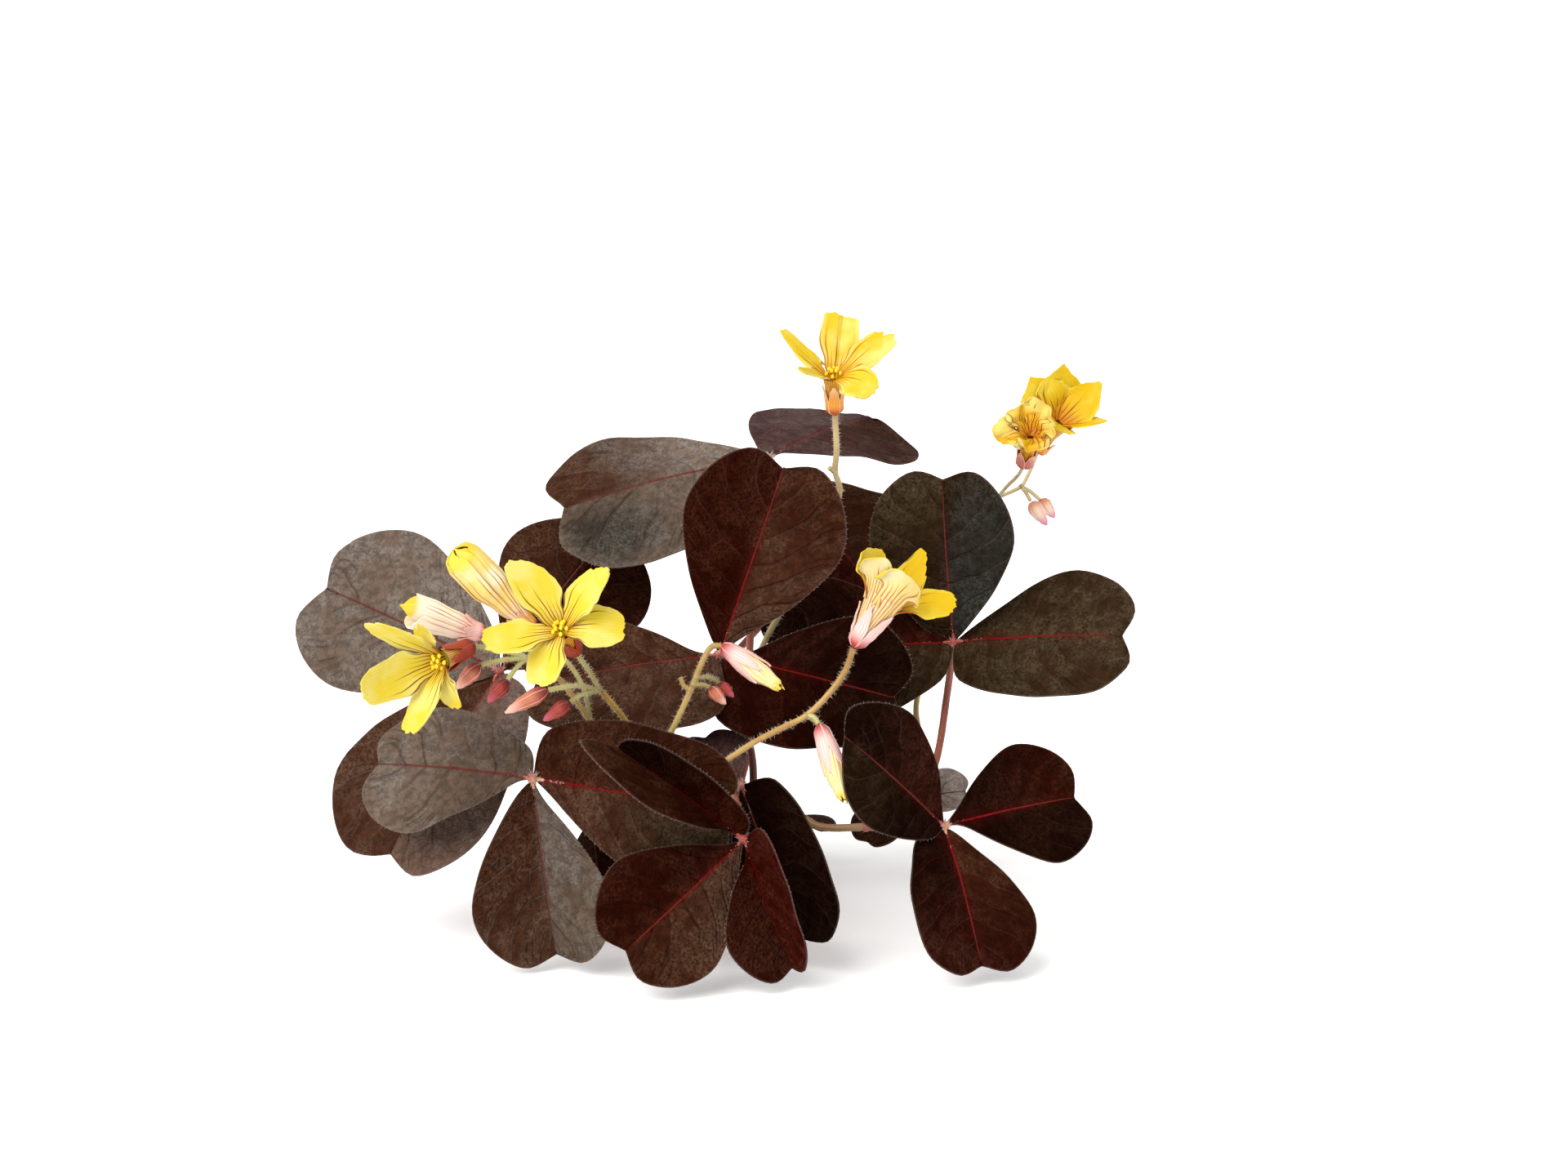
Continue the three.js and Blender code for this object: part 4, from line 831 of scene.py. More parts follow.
def buildRolled(flower):  # petals still rolled round each other, seen as overlapping bands
    bm = bmesh.new()
    keys = floatLayers(bm, "petalAcross", "petalAlong")
    chance = random.Random(flower["name"])
    base, twist = Vector(flower["base"]), flower["twist"]
    axis, length, across = runBetween(base, Vector(flower["tip"]))
    for k in range(rolledForm["count"]):
        sheet = openSheet(bm, rolledForm["across"], rolledForm["along"])
        turn = math.tau * k / rolledForm["count"]
        late = chance.uniform(-0.04, 0.05)
        end = flower["open"] + late if k else 1.0
        for vert, u, v in sheet:
            t = v * end * (1 - 0.1 * u ** 2)
            t += 0.012 * noise.noise(Vector((u * 4, k, 0))) * smooth((v - 0.7) * 3)
            out = profileAt(flower["profile"], t) * (1 + 0.09 * u)
            if not k:  # the innermost one closes at its tip
                out *= 0.8 * (1 - 0.75 * smooth((t - 0.86) / 0.14))
            out += 0.06 * math.sin(u * 9 + k)
            spot = base + axis * mix(tubeForm["start"], length, t)
            vert.co = spot + spoke(across, turn + u * 0.95 + twist * t) * out
            vert[keys[0]], vert[keys[1]] = u, (t if k else t + 0.02)
        closeSheet(bm, sheet, spoke(across, turn + twist / 2), rolledForm["thickness"])
    finishPiece("petals_" + flower["name"], bm, (rolledLooks[flower["colour"]],),
                ["corolla_" + flower["name"]], sharp=70)


def buildBud(bud):
    bm = bmesh.new()
    keys = floatLayers(bm, "sepalAcross", "sepalAlong")
    chance = random.Random(bud["name"])
    base, radius = Vector(bud["base"]), bud["radius"]
    axis, length, across = runBetween(base, Vector(bud["tip"]))
    for k in range(budForm["count"]):
        sheet = openSheet(bm, budForm["across"], budForm["along"])
        turn = math.tau * k / budForm["count"]
        for vert, u, v in sheet:
            out = radius * profileAt(budForm["profile"], v) * (1 + 0.12 * (1 - u * u) + 0.05 * u)
            vert.co = base + axis * (length * v) + spoke(across, turn + u * 0.74 + 0.25 * v) * out
            vert[keys[0]], vert[keys[1]] = u, v
        closeSheet(bm, sheet, spoke(across, turn), budForm["thickness"])
    for _ in range(budForm["hairs"]):
        lean, v = spoke(across, chance.uniform(0, math.tau)), chance.uniform(0.05, 0.6)
        foot = base + axis * (length * v) + lean * (radius * 0.85)
        addHair(bm, foot, foot + (lean + axis * 0.5).normalized() * 0.4, 0.05, 1)
    finishPiece("bud_scales_" + bud["name"], bm, (budLooks[bud.get("look", "blush")], downLook),
                ["bud_" + bud["name"]], sharp=60)


def makePetalLook(name, field, deep, edge, streak, reach):
    look = Look(name)
    u, v = look.number("petalAcross"), look.number("petalAlong")
    colour = look.blend(look.patches(160, 3, 0.42, 0.66), rgb(*field), rgb(*edge))
    colour = look.blend(look.range(look.size(u), 0.72, 1.0), colour, rgb(*edge))
    colour = look.blend(look.times(look.range(v, 0.5, 0.06), 0.9), colour, rgb(*deep))
    run = look.plus(look.times(u, 3.6), look.wobble(220, 2, 0.55))
    streakAt = look.math("FLOOR", run)
    chance = look.add("ShaderNodeTexWhiteNoise", settings={"noise_dimensions": "1D"}, W=streakAt)
    ends = look.times(look.plus(look.times(chance, 0.5), 0.72), reach)
    width = look.math("MINIMUM", look.times(look.minus(ends, v), 0.5), 0.16)
    lines = look.range(look.minus(width, look.comb(run)), -0.03, 0.06)
    colour = look.blend(look.times(lines, 0.85), colour, rgb(*streak))
    height = look.plus(look.times(look.math("SINE", look.times(u, 42.0)), 0.3), look.noise(900, 3))
    return look.finish(colour, height, 0.35, 0.08, 0.55, Subsurface_Weight=0.16,
                       Subsurface_Radius=(0.0012, 0.001, 0.0003), Specular_IOR_Level=0.2)


def makeRolledLook(name, base, body, tip, streak):
    look = Look(name)
    u, v = look.number("petalAcross"), look.number("petalAlong")
    colour = look.blend(look.range(v, 0.1, 0.45), rgb(*base, dim=0.92), rgb(*body, dim=0.92))
    colour = look.blend(look.patches(180, 3, 0.45, 0.7), colour, rgb(255, 240, 206, dim=0.92))
    colour = look.blend(look.range(v, 0.8, 0.9), colour, rgb(*tip, dim=0.8))
    comb = look.comb(look.plus(look.times(u, 1.9), look.wobble(200, 2, 0.5)))
    lines = look.times(look.range(comb, 0.12, 0.03), look.range(v, 0.85, 0.5))
    colour = look.blend(look.times(lines, 0.8), colour, rgb(*streak))
    return look.finish(colour, look.math("SINE", look.times(u, 30.0)), 0.3, 0.06, Subsurface_Weight=0.2,
                       Subsurface_Radius=(0.0012, 0.0008, 0.0004))


def makeSepalLook(name, foot, body, tip, stripe):
    look = Look(name)
    u, v = look.number("sepalAcross"), look.number("sepalAlong")
    colour = look.blend(look.range(v, 0.05, 0.42), rgb(*foot, dim=0.8), rgb(*body, dim=0.88))
    colour = look.blend(look.range(v, 0.55, 0.95), colour, rgb(*tip, dim=0.9))
    lines = look.times(look.range(look.comb(look.times(u, 2.3)), 0.16, 0.05), look.range(v, 1.0, 0.5))
    colour = look.blend(look.times(lines, 0.55), colour, rgb(*stripe))
    colour = look.blend(look.range(look.size(u), 0.75, 1.0), colour, rgb(*tip, dim=0.9))
    height = look.plus(look.math("SINE", look.times(u, 24.0)), look.noise(1200, 2))
    return look.finish(colour, height, 0.35, 0.06, Subsurface_Weight=0.15,
                       Subsurface_Radius=(0.0012, 0.0006, 0.0004))


def makePollenLook():
    look = Look("stamen")
    deep, light = rgb(252, 204, 0, dim=0.95), rgb(255, 226, 60, dim=0.95)
    tone = look.blend(look.patches(900, 2, 0.4, 0.62), deep, light)
    return look.finish(tone, look.noise(2600, 2), 0.5, 0.08, 0.6, Subsurface_Weight=0.3,
                       Subsurface_Radius=(0.001, 0.0008, 0.0002))


def looksOf(make, family, rows):
    return {name: make(family + "_" + name, *row) for name, row in rows.items()}


petalLooks = looksOf(makePetalLook, "petal", {  # field, throat, edge, streaks, and how far the streaks reach
    "lemon": ((250, 222, 60), (240, 186, 10), (253, 236, 124), (124, 56, 2), 0.74),
    "marigold": ((244, 208, 34), (234, 160, 4), (252, 232, 120), (196, 100, 4), 0.8),
    "golden": ((240, 198, 6), (224, 140, 0), (250, 222, 70), (176, 76, 0), 0.7),
    "worn": ((240, 180, 2), (226, 140, 0), (252, 228, 120), (160, 70, 4), 0.9)})
petalBackLook = makePetalLook("petal_back", (251, 222, 136), (250, 216, 140), (253, 238, 176),
                              (200, 104, 14), 0.8)
tubeLooks = looksOf(makePetalLook, "tube", {
    "cream": ((254, 226, 150), (254, 208, 150), (255, 236, 196), (210, 100, 10), 1.6),
    "amber": ((248, 184, 40), (240, 140, 20), (250, 206, 110), (200, 70, 4), 1.6)})
stamenLook = makePollenLook()
sepalLooks = looksOf(makeSepalLook, "sepal", {  # foot, body, tip, stripes
    "russet": ((110, 14, 8), (168, 56, 20), (176, 60, 34), (110, 18, 8)),
    "amber": ((196, 64, 16), (236, 160, 50), (240, 186, 130), (220, 104, 2)),
    "rose": ((186, 34, 50), (252, 204, 196), (248, 196, 182), (240, 158, 150)),
    "dusky": ((176, 66, 66), (214, 124, 110), (236, 170, 140), (160, 60, 40))})
budLooks = looksOf(makeSepalLook, "bud", {
    "blush": ((140, 28, 14), (206, 122, 92), (246, 190, 172), (176, 84, 60)),
    "dark": ((116, 16, 8), (172, 56, 38), (196, 84, 104), (120, 22, 14)),
    "pale": ((214, 140, 96), (250, 220, 196), (226, 140, 168), (214, 120, 80))})
rolledLooks = looksOf(makeRolledLook, "rolled", {  # foot, body, tip, streaks
    "cream": ((252, 204, 192), (255, 240, 214), (246, 196, 6), (226, 130, 104)),
    "peach": ((252, 212, 160), (252, 216, 116), (250, 214, 60), (190, 90, 10)),
    "pink": ((246, 180, 160), (252, 226, 160), (248, 218, 90), (196, 84, 24))})
for flower in flowers:
    flower = {**flowerForm, **flower}
    mouth = Vector(flower["mouth"])
    buildCorolla(flower)
    buildCalyx(flower, mouth, tubeOf(flower, (mouth - Vector(flower["base"])).length))
for flower in rolledFlowers:
    flower = {**flowerForm, **flower}
    tip = Vector(flower["tip"])
    buildRolled(flower)
    length = (tip - Vector(flower["base"])).length
    body = [(mix(tubeForm["start"], length, share), out) for share, out in flower["profile"]]
    buildCalyx(flower, tip, [(0, 0.3), (0.6, 0.7)] + body)
for bud in buds:
    buildBud(bud)
print("flowers done")


# Stems and stalks, which run through these points
stems = [
  {"name": "stem_left", "tone": "rose", "look": "stem", "paths": [
    {"root": [-6.5, -0.5], "ends": "leaf left", "points": [[-9.5, -2.2, 18.5], [-13.9, -3, 23.5],
     [-19.9, -1.5, 29.2], [-25.4, 0.5, 34.3]]},
    {"ends": "leaf front_left", "points": [[-9.5, -2.2, 18.5], [-12.2, -6, 21], [-16, -11.5, 24.2],
     [-20.5, -18, 27.4]]},
    {"ends": "leaf inner_left", "points": [[-9.5, -2.2, 18.5], [-12.5, -6.5, 18.3], [-14.8, -11.8, 18.8]]},
  ]},
  {"name": "stem_front", "tone": "russet", "look": "stem", "paths": [
    {"root": [4.9, -7.6], "ends": "leaf low_front", "points": [[6, -12.4, 20.2]]},
    {"ends": "leaf front", "radius": 0.7, "points": [[4.9, -7.6, 14.5], [3.4, -12, 19.5], [3, -17.6, 26.2],
     [4.6, -22.6, 27], [6.2, -26, 23.6]]},
  ]},
  {"name": "stem_centre", "tone": "russet", "look": "stem", "paths": [
    {"root": [7.8, -3.2], "ends": "leaf centre", "points": [[8, -3.4, 25], [6.9, -4, 31], [4.4, -5, 38]]},
  ]},
  {"name": "stem_top", "tone": "rose", "look": "stem", "paths": [
    {"root": [4.6, 3.5], "ends": "leaf top", "points": [[7, 5, 24], [7.5, 9, 40], [8.4, 10.8, 57]]},
  ]},
  {"name": "stem_right", "tone": "rose", "look": "stem", "paths": [
    {"root": [9, 0.6], "tone": "tan", "points": [[12, -5, 18.6], [14.9, -8.5, 18.6], [18, -10.5, 17.5],
     [24.5, -12, 17.9], [29.3, -10, 17.8]]},
    {"ends": "leaf right", "points": [[29.3, -10, 17.8], [32.5, -6, 19.8], [35.4, 2, 25], [37, 7.6, 33]]},
    {"ends": "leaf low_right", "points": [[24.5, -12, 17.9], [29.5, -15, 18.4]]},
    {"ends": "leaf back_right", "points": [[29.3, -10, 17.8], [30, 3, 16], [30.4, 14, 16]]},
    {"radius": 0.44, "tone": "straw", "points": [[29.3, -10, 17.8], [31, -4, 20.5], [32.8, 8, 26.5],
     [32.6, 13, 30.2], [35.4, 15, 40.4], [40.3, 16, 51.5], [44.7, 16, 61.4]]},
    {"ends": "flower wilted", "kind": "thread", "points": [[44.7, 16, 61.4], [45.8, 14, 63.3],
     [47.4, 10.6, 65.8]]},
    {"ends": "flower star", "kind": "thread", "points": [[44.7, 16, 61.4], [46.7, 16, 62.3], [48.2, 16, 63.1],
     [49.4, 16.6, 65]]},
    {"ends": "bud far", "kind": "thread", "points": [[48.2, 16, 63.1], [49, 15.6, 62.1]]},
    {"ends": "bud far_back", "kind": "thread", "points": [[48.2, 16, 63.1], [49.6, 17, 62.2]]},
  ]},
  {"name": "stem_back", "tone": "russet", "look": "stem", "paths": [
    {"root": [-1, 7.6], "ends": "leaf low_back_left", "points": [[-5, 13.6, 18.8], [-9, 21, 15.5]]},
    {"ends": "leaf low_back_right", "points": [[-1, 7.6, 15.6], [3.2, 13.6, 18.8], [7.6, 19, 14.2]]},
  ]},
  {"name": "stem_high_back", "tone": "rose", "look": "stem", "paths": [
    {"root": [-4.6, 3], "ends": "leaf high_back", "points": [[-5.4, 12, 24.5], [-0.5, 18, 30.6],
     [5.7, 25, 36], [13.2, 31, 43]]},
  ]},
  {"name": "stalk_left", "tone": "gold", "look": "stalk", "paths": [
    {"root": [-2.6, -7.4], "points": [[-6.5, -12.5, 24], [-9.8, -16.5, 34.2], [-11.4, -18, 37],
     [-13.6, -20, 40.2]]},
    {"ends": "flower main", "kind": "pedicel", "points": [[-13.6, -20, 40.2], [-15, -23, 43.7]]},
    {"ends": "bud low", "kind": "pedicel", "points": [[-13.6, -20, 40.2], [-17, -22.5, 41.5]]},
    {"ends": "bud small_low", "kind": "pedicel", "points": [[-13.6, -20, 40.2], [-15.9, -22, 40.2]]},
  ]},
  {"name": "stalk_far_left", "tone": "straw", "look": "stalk", "paths": [
    {"root": [-5.4, -5.6], "points": [[-10, -11, 24], [-15.3, -15.6, 34.6], [-17.9, -16.5, 38.8],
     [-19.9, -17.5, 41.6], [-22.4, -18.5, 43.9], [-24.1, -19.5, 44.8]]},
    {"ends": "flower tall", "kind": "pedicel", "points": [[-15.3, -15.6, 34.6], [-16.2, -16, 39.6],
     [-18.5, -15.6, 43.3], [-21.1, -16, 45.5]]},
    {"ends": "flower left", "kind": "pedicel", "points": [[-24.1, -19.5, 44.8], [-27.4, -22, 46.5]]},
    {"ends": "bud left", "kind": "pedicel", "points": [[-24.1, -19.5, 44.8], [-27, -22, 45.2]]},
    {"ends": "bud dark", "kind": "pedicel", "points": [[-24.1, -19.5, 44.8], [-25.3, -20.5, 43.9]]},
    {"ends": "flower pale", "kind": "pedicel", "points": [[-24.1, -19.5, 44.8], [-27, -19.5, 46.7]]},
  ]},
  {"name": "stalk_centre", "tone": "straw", "look": "stalk", "paths": [
    {"root": [-0.7, -4.6], "ends": "flower centre", "points": [[-3.4, -10.5, 23], [-4.9, -16.8, 30.6],
     [-3.4, -17.6, 33.9], [-0.8, -17, 39.5], [1.1, -15.8, 43.9], [2.3, -14.8, 45.5]]},
    {"ends": "bud twin_left", "kind": "pedicel", "points": [[-0.4, -17, 40.3], [1.1, -16.6, 40.2]]},
    {"ends": "bud twin_right", "kind": "pedicel", "points": [[0, -16.7, 41.3], [1.8, -15.4, 41.1]]},
    {"kind": "pedicel", "tone": "straw", "points": [[-0.8, -17, 39.5], [-1.8, -17, 40.2], [-2.2, -17, 41.4]]},
  ]},
  {"name": "stalk_right", "tone": "honey", "look": "stalk", "paths": [
    {"root": [0.9, -8.6], "ends": "flower right", "points": [[0.4, -14, 21], [0.6, -19, 26.6],
     [1.5, -23, 28.9], [4.8, -23.8, 31.2], [8.5, -22.5, 33.3], [12.6, -21, 35.1], [15.9, -20, 36.6],
     [19, -19.5, 39.6], [21.3, -19.5, 42.9]]},
    {"ends": "flower hanging", "kind": "pedicel", "points": [[15.9, -20, 36.6], [16.9, -20.5, 36.4]]},
    {"ends": "bud droop", "kind": "pedicel", "points": [[15.9, -20, 36.6], [18.7, -18, 33.8]]},
  ]},
  {"name": "stalk_top", "tone": "cream", "look": "stalk", "paths": [
    {"root": [5.1, -0.6], "ends": "flower top", "points": [[5.8, 0, 24], [8, 2.5, 38], [14, 4, 50],
     [19, 4, 60], [20.8, 3, 65], [20.1, 2.5, 67.8], [20.3, 2, 71]]},
    {"kind": "pedicel", "tone": "cream", "points": [[20.1, 2.5, 67.8], [19.2, 2, 68.5]]},
  ]},
]
stemForm = {"step": 0.55, "soilTop": 15, "rootDepth": 3.4, "hubClear": 1.0, "footClear": 0.3,
            "hairWidth": 0.055, "look": {"stem": {"radius": 0.56, "hairs": 5, "hair": 0.35},
                                         "stalk": {"radius": 0.44, "hairs": 20, "hair": 0.5}}}
pathForms = {"pedicel": {"radius": 0.36, "tone": "herb"}, "thread": {"radius": 0.3, "tone": "pale"}}
stemTones = {"tan": (186, 146, 104), "rose": (188, 106, 84), "russet": (150, 80, 50), "gold": (214, 168, 66),
             "straw": (216, 184, 106), "honey": (206, 162, 84), "cream": (214, 188, 132),
             "herb": (206, 196, 122), "pale": (240, 228, 180)}


def endOf(path):  # the place that a path runs to, and how far short of it the path stops
    kind, name = path["ends"].split()
    pool = {"leaf": leaves, "bud": buds, "flower": flowers + rolledFlowers}[kind]
    piece = next(piece for piece in pool if piece["name"] == name)
    if kind == "leaf":
        return Vector(piece["hub"]), stemForm["hubClear"]
    return Vector(piece["base"]), stemForm["footClear"]


def stemPlaces(path):
    places = [Vector(point) for point in path["points"]]
    if "root" in path:
        rises = -stemForm["rootDepth"], -1.7, 0.6
        places = [Vector(path["root"] + [stemForm["soilTop"] + rise]) for rise in rises] + places
    if "ends" in path:
        target, clear = endOf(path)
        places.append(target + (places[-1] - target).normalized() * clear)
    return places


def smoothRoute(places, step):  # centripetal curve through the places, as even short steps
    padded = [places[0] * 2 - places[1]] + places + [places[-1] * 2 - places[-2]]
    route = []
    for before, here, there, after in zip(padded, padded[1:], padded[2:], padded[3:]):
        runs = here - before, there - here, after - there
        first, gap, last = [max(1e-4, run.length ** 0.5) for run in runs]
        start = ((here - before) / first - (there - before) / (first + gap) + (there - here) / gap) * gap
        stop = ((there - here) / gap - (after - here) / (gap + last) + (after - there) / last) * gap
        count = max(2, round((there - here).length / step))
        route += [hermite(here, there, start, stop, k / count) for k in range(count)]
    return route + [places[-1]]


def addTube(bm, route, radii):  # a curve with a round bevel, made into mesh
    data = bpy.data.curves.new("route", "CURVE")
    data.dimensions, data.bevel_depth, data.bevel_resolution, data.use_fill_caps = "3D", 1.0, 3, True
    line = data.splines.new("POLY")
    line.points.add(len(route) - 1)
    for point, spot, radius in zip(line.points, route, radii):
        point.co, point.radius = (*spot, 1), radius
    holder = addObject("route", data)
    mesh = meshOf(holder)
    bm.from_mesh(mesh)
    bpy.data.objects.remove(holder)
    bpy.data.curves.remove(data)
    bpy.data.meshes.remove(mesh)


def addStemHairs(bm, route, radius, form, chance):
    for here, there in zip(route, route[1:]):
        if here.z < stemForm["soilTop"] + 0.4:
            continue
        run, length, across = runBetween(here, there)
        for _ in range(round(form["hairs"] * length * chance.uniform(0.6, 1.4))):
            lean = spoke(across, chance.uniform(0, math.tau))
            foot = here.lerp(there, chance.random()) + lean * (radius * 0.9)
            lean = (lean + run * chance.uniform(-0.5, 0.5)).normalized()
            reach = form["hair"] * chance.uniform(0.5, 1.35)
            addHair(bm, foot, foot + lean * reach, stemForm["hairWidth"], 1)


def buildStem(stem):
    bm = bmesh.new()
    tint = bm.verts.layers.float_color.new("stemTint")
    form = stemForm["look"][stem["look"]]
    chance = random.Random(stem["name"])
    paths = [{"radius": form["radius"], "tone": stem["tone"], **pathForms.get(path.get("kind"), {}), **path}
             for path in stem["paths"]]
    routes = [smoothRoute(stemPlaces(path), stemForm["step"]) for path in paths]
    for path, route in zip(paths, routes):
        radii = [path["radius"] * (1 + 0.07 * noise.noise(spot * 0.5)) for spot in route]
        radii[0] *= 1.12
        before = len(bm.verts)
        addTube(bm, route, radii)
        bm.verts.ensure_lookup_table()
        for vert in bm.verts[before:]:
            vert[tint] = rgb(*stemTones[path["tone"]])
    for path in paths[1:]:  # swollen joint where a side shoot leaves
        for vert in addBall(bm, 2, path["radius"] * 1.35):
            vert.co = vert.co * (1 + 0.15 * noise.noise(vert.co * 3)) + Vector(path["points"][0])
            vert[tint] = rgb(*stemTones[path["tone"]])
    for path, route in zip(paths, routes):
        addStemHairs(bm, route, path["radius"], form, chance)
    finishPiece(stem["name"] + "_skin", bm, (stemLook, stalkDownLook), [stem["name"]], sharp=70)


def makeStemLook():
    look = Look("stem_skin")
    shade = look.blend(look.patches(60, 3, 0.38, 0.62), (0.78, 0.7, 0.6, 1), (1.12, 1.16, 1.2, 1))
    colour = look.blend(1.0, look.tint("stemTint"), shade, "MULTIPLY")
    flecks = look.blend(look.patches(420, 3, 0.5, 0.72), (1, 1, 1, 1), (0.86, 0.66, 0.5, 1))
    colour = look.blend(0.6, colour, look.blend(1.0, colour, flecks, "MULTIPLY"))
    height = look.plus(look.noise(1500, 3), look.times(look.cells(1300), 0.8))
    return look.finish(colour, height, 0.5, 0.08, Subsurface_Weight=0.15,
                       Subsurface_Radius=(0.001, 0.0006, 0.0003))


stemLook = makeStemLook()
stalkDownLook = makeDownLook("stalk_down", (196, 172, 140))
for stem in stems:
    buildStem(stem)
print("stems done")


# Clay pot and its soil
potForm = {"height": 16.5, "top": 14.2, "base": 10.6, "wall": 1.6, "floor": 2, "rim": 4.2, "rimStep": 0.7,
           "sides": 96, "sharp": 40, "drainHoles": 3, "drainRadius": 1.1, "drainCircle": 5.5}
soilForm = {"edge": 14, "top": 15, "sides": 84, "crumbs": 420, "grit": 23}


def potOuter(height):
    flare = potForm["top"] - potForm["rimStep"] - potForm["base"]
    return potForm["base"] + flare * height / potForm["height"]


def turnBody(bm, rings, sides):  # spins a profile round the upright and closes it
    spinRound(bm, rings, Vector(), Vector((0, 0, 1)), sides, 0)
    bmesh.ops.remove_doubles(bm, verts=bm.verts, dist=0.03)
    bmesh.ops.recalc_face_normals(bm, faces=bm.faces)


def cutDrain(pot, turn):
    bm = bmesh.new()
    radius, circle = potForm["drainRadius"], potForm["drainCircle"]
    bmesh.ops.create_cone(bm, segments=24, radius1=radius, radius2=radius, depth=8, cap_ends=True)
    bmesh.ops.translate(bm, verts=bm.verts, vec=(circle * math.cos(turn), circle * math.sin(turn), 0))
    bmesh.ops.scale(bm, verts=bm.verts, vec=(mm, mm, mm))
    tool = addObject("drain", meshFrom("drain", bm))
    cut = pot.modifiers.new("drain", "BOOLEAN")
    cut.operation, cut.object, cut.solver = "DIFFERENCE", tool, "EXACT"
    carved = meshOf(pot)
    pot.modifiers.clear()
    pot.data = carved
    bpy.data.objects.remove(tool)


def buildPot():
    bm = bmesh.new()
    h, top, base, wall, low = [potForm[key] for key in ("height", "top", "base", "wall", "floor")]
    foot = h - potForm["rim"]
    rings = [(0, 0.01), (0, base - 1.2), (0.08, base - 0.4), (0.5, base)]
    rings += [(mix(0.5, foot, k / 12), potOuter(mix(0.5, foot, k / 12))) for k in range(1, 13)]
    rings += [(foot + 0.15, potOuter(foot) + 0.45), (foot + 0.7, potOuter(foot) + 0.7),
              (foot + 2, top - 0.12), (h - 0.8, top), (h - 0.25, top - 0.16), (h, top - 0.6),
              (h, potOuter(h) - wall + 0.5)]
    rings += [(mix(h - 0.4, low, k / 8), potOuter(mix(h, low, k / 8)) - wall) for k in range(9)]
    rings += [(low, 0.01)]
    turnBody(bm, rings, potForm["sides"])
    for vert in bm.verts:  # faint turning marks
        x, y, z = vert.co
        if 0.6 < z < h - 0.3:
            vert.co.xy *= 1 + 0.004 * noise.noise(Vector((x * 0.12, y * 0.12, z * 0.9)))
    pot = finishPiece("clay_pot", bm, (clayLook,), ["pot"], potForm["sharp"])
    for k in range(potForm["drainHoles"]):
        cutDrain(pot, math.tau * k / potForm["drainHoles"])
    pot.data.set_sharp_from_angle(angle=math.radians(potForm["sharp"]))


def addCrumb(bm, reach, slot, chance):
    far, turn = (reach - 0.7) * math.sqrt(chance.random()), chance.uniform(0, math.tau)
    rise = mix(soilForm["top"], soilForm["edge"], (far / reach) ** 2)
    spot = Vector((far * math.cos(turn), far * math.sin(turn), rise))
    crumb = addBall(bm, 1, 0.28 + 0.5 * chance.random() ** 3)
    for vert in crumb:
        vert.co = vert.co * (1 + 0.5 * noise.noise(vert.co * 3 + spot)) + spot
    paint(crumb, slot)


def buildSoil():
    bm = bmesh.new()
    edge, top, wall, low = soilForm["edge"], soilForm["top"], potForm["wall"], potForm["floor"] + 0.4
    reach = potOuter(edge) - wall - 0.12
    rings = [(low, 0.01), (low, potOuter(low) - wall - 0.3), (edge - 0.4, reach)]
    rings += [(mix(edge, top, smooth(k / 16)), mix(reach, 0.01, k / 16)) for k in range(17)]
    turnBody(bm, rings, soilForm["sides"])
    for vert in bm.verts:
        if vert.co.z > edge - 0.1:
            vert.co.z += 0.28 * noise.fractal(vert.co * 0.9, 1.0, 2.0, 3)
    chance = random.Random(11)
    for k in range(soilForm["crumbs"]):
        addCrumb(bm, reach, 0 if k % soilForm["grit"] else 1, chance)
    finishPiece("potting_soil", bm, (soilLook, gritLook), ["soil"], sharp=70)


def makeClayLook():
    look = Look("clay")
    colour = look.blend(look.patches(70, 4, 0.35, 0.68), rgb(176, 96, 62), rgb(206, 132, 96))
    colour = look.blend(look.times(look.patches(35, 3, 0.52, 0.7), 0.5), colour, rgb(226, 190, 168))
    colour = look.blend(look.times(look.range(look.cells(900), 0.28, 0.12), 0.35), colour, rgb(120, 62, 42))
    flat = look.add("ShaderNodeMapping", Vector=look.place(), Scale=(0.15, 0.15, 6))
    height = look.plus(look.noise(260, 3, vector=flat), look.noise(1100, 4))
    return look.finish(colour, height, 0.5, 0.12, look.range(look.noise(500), 0.3, 0.7, 0.78, 0.95))


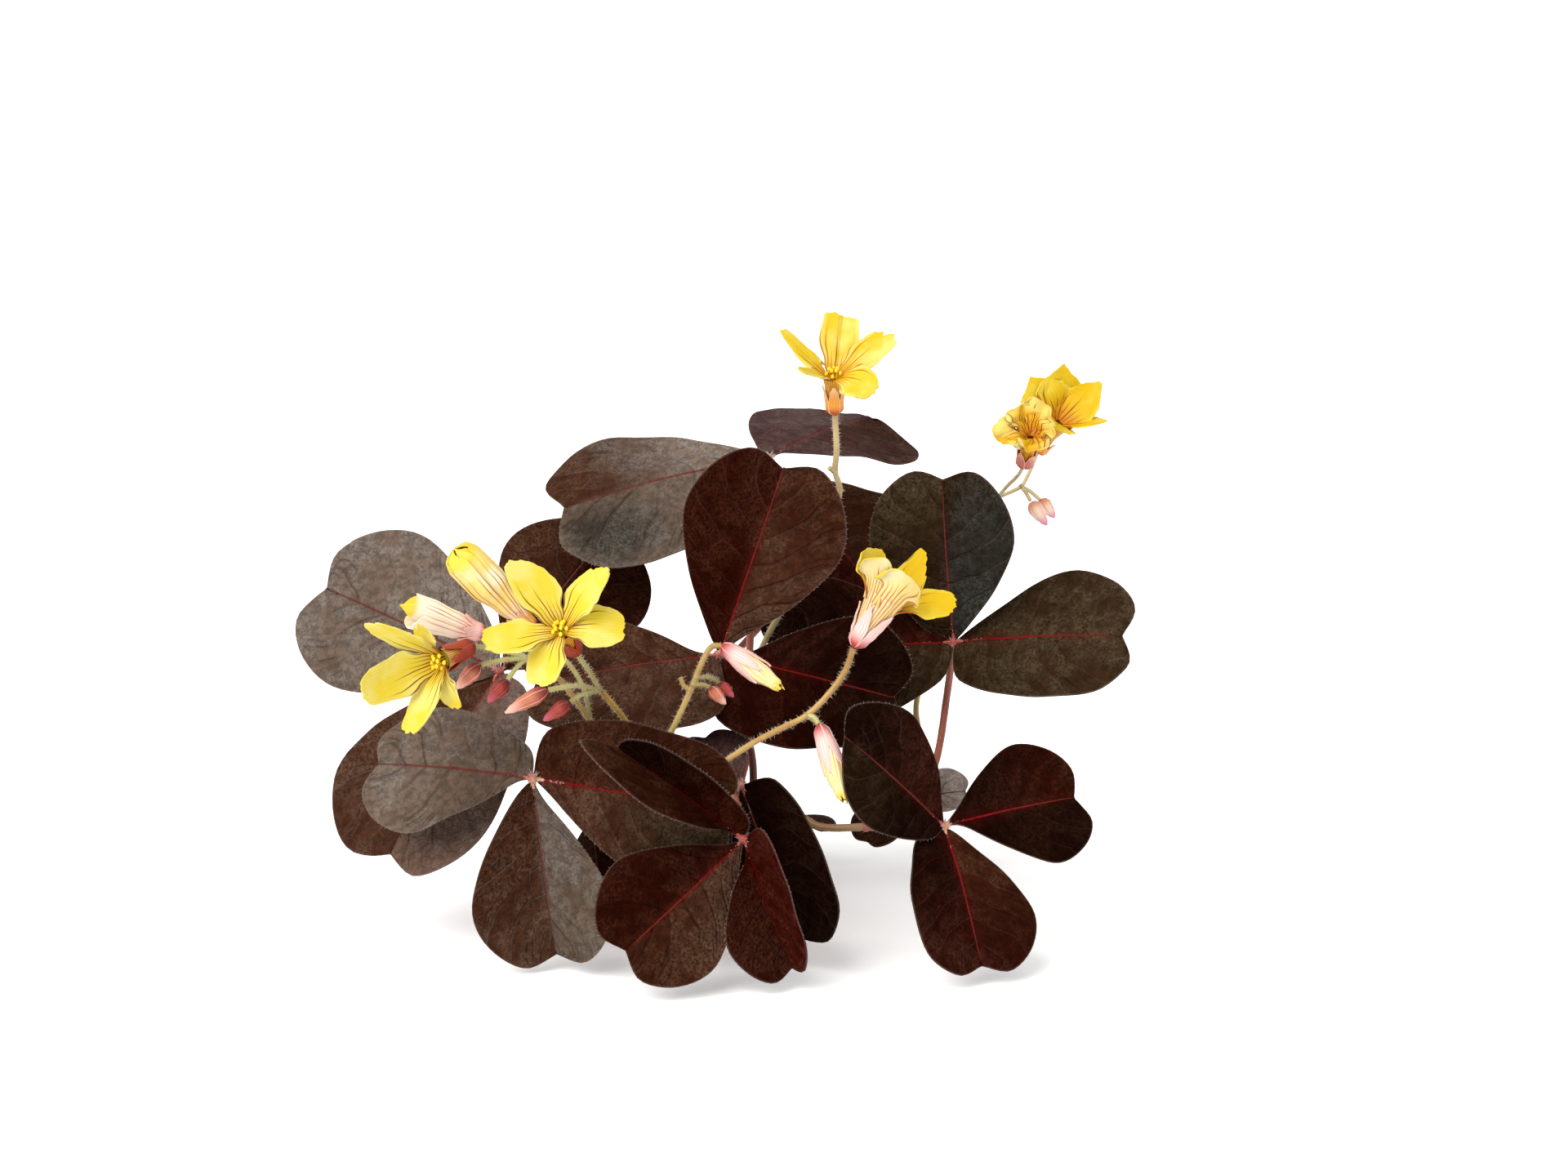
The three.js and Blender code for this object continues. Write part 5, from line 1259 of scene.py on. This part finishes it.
def makeSoilLook(name, dark, light):
    look = Look(name)
    colour = look.blend(look.patches(420, 5, 0.35, 0.66), rgb(*dark), rgb(*light))
    colour = look.blend(look.times(look.range(look.cells(1600), 0.2, 0.05), 0.5), colour, rgb(120, 96, 74))
    return look.finish(colour, look.plus(look.noise(1300, 5, 0.7), look.cells(900)), 0.9, 0.25, 0.95)


clayLook = makeClayLook()
soilLook = makeSoilLook("soil", (24, 16, 12), (62, 44, 32))
gritLook = makeSoilLook("grit", (190, 184, 174), (228, 224, 216))
buildPot()
buildSoil()
print("pot done")


# Floor and light
studio = {"floor": 8.0, "key": 3.1, "softness": 46, "towards": (0.5, 0.62, -0.78), "fill": 0.45,
          "fillSize": 0.8, "fillPlace": (0.6, -0.6, 0.4), "fillAim": (0.01, 0, 0.04), "world": 0.82,
          "glow": 0.26}


def addLamp(name, kind, energy, run):  # a lamp that shines along run
    data = bpy.data.lights.new(name, kind)
    data.energy = energy
    lamp = addObject(name, data)
    lamp.rotation_euler = run.to_track_quat("-Z", "Y").to_euler()
    return lamp


def makeFloor():
    bm = bmesh.new()
    bmesh.ops.create_grid(bm, x_segments=1, y_segments=1, size=studio["floor"])
    floor = addObject("floor", meshFrom("floor", bm))
    look = Look("floor_paper")
    paper = look.blend(look.noise(3), (0.93, 0.93, 0.93, 1), (0.97, 0.97, 0.97, 1))
    floor.data.materials.append(look.finish(paper, roughness=0.9, Emission_Color=(1, 1, 1, 1),
                                            Emission_Strength=studio["glow"]))


def makeLight():
    key = addLamp("key", "SUN", studio["key"], Vector(studio["towards"]))
    key.data.angle, key.data.color = math.radians(studio["softness"]), (1, 0.985, 0.96)
    place = Vector(studio["fillPlace"])
    fill = addLamp("fill", "AREA", studio["fill"], Vector(studio["fillAim"]) - place)
    fill.data.size, fill.location = studio["fillSize"], place
    world = bpy.data.worlds.new("studio")
    bpy.context.scene.world = world
    world.use_nodes = True
    sky = world.node_tree.nodes["Background"].inputs
    sky["Color"].default_value, sky["Strength"].default_value = (1, 1, 1, 1), studio["world"]
    bpy.context.scene.view_settings.view_transform = "Standard"


makeFloor()
makeLight()
print("studio done")
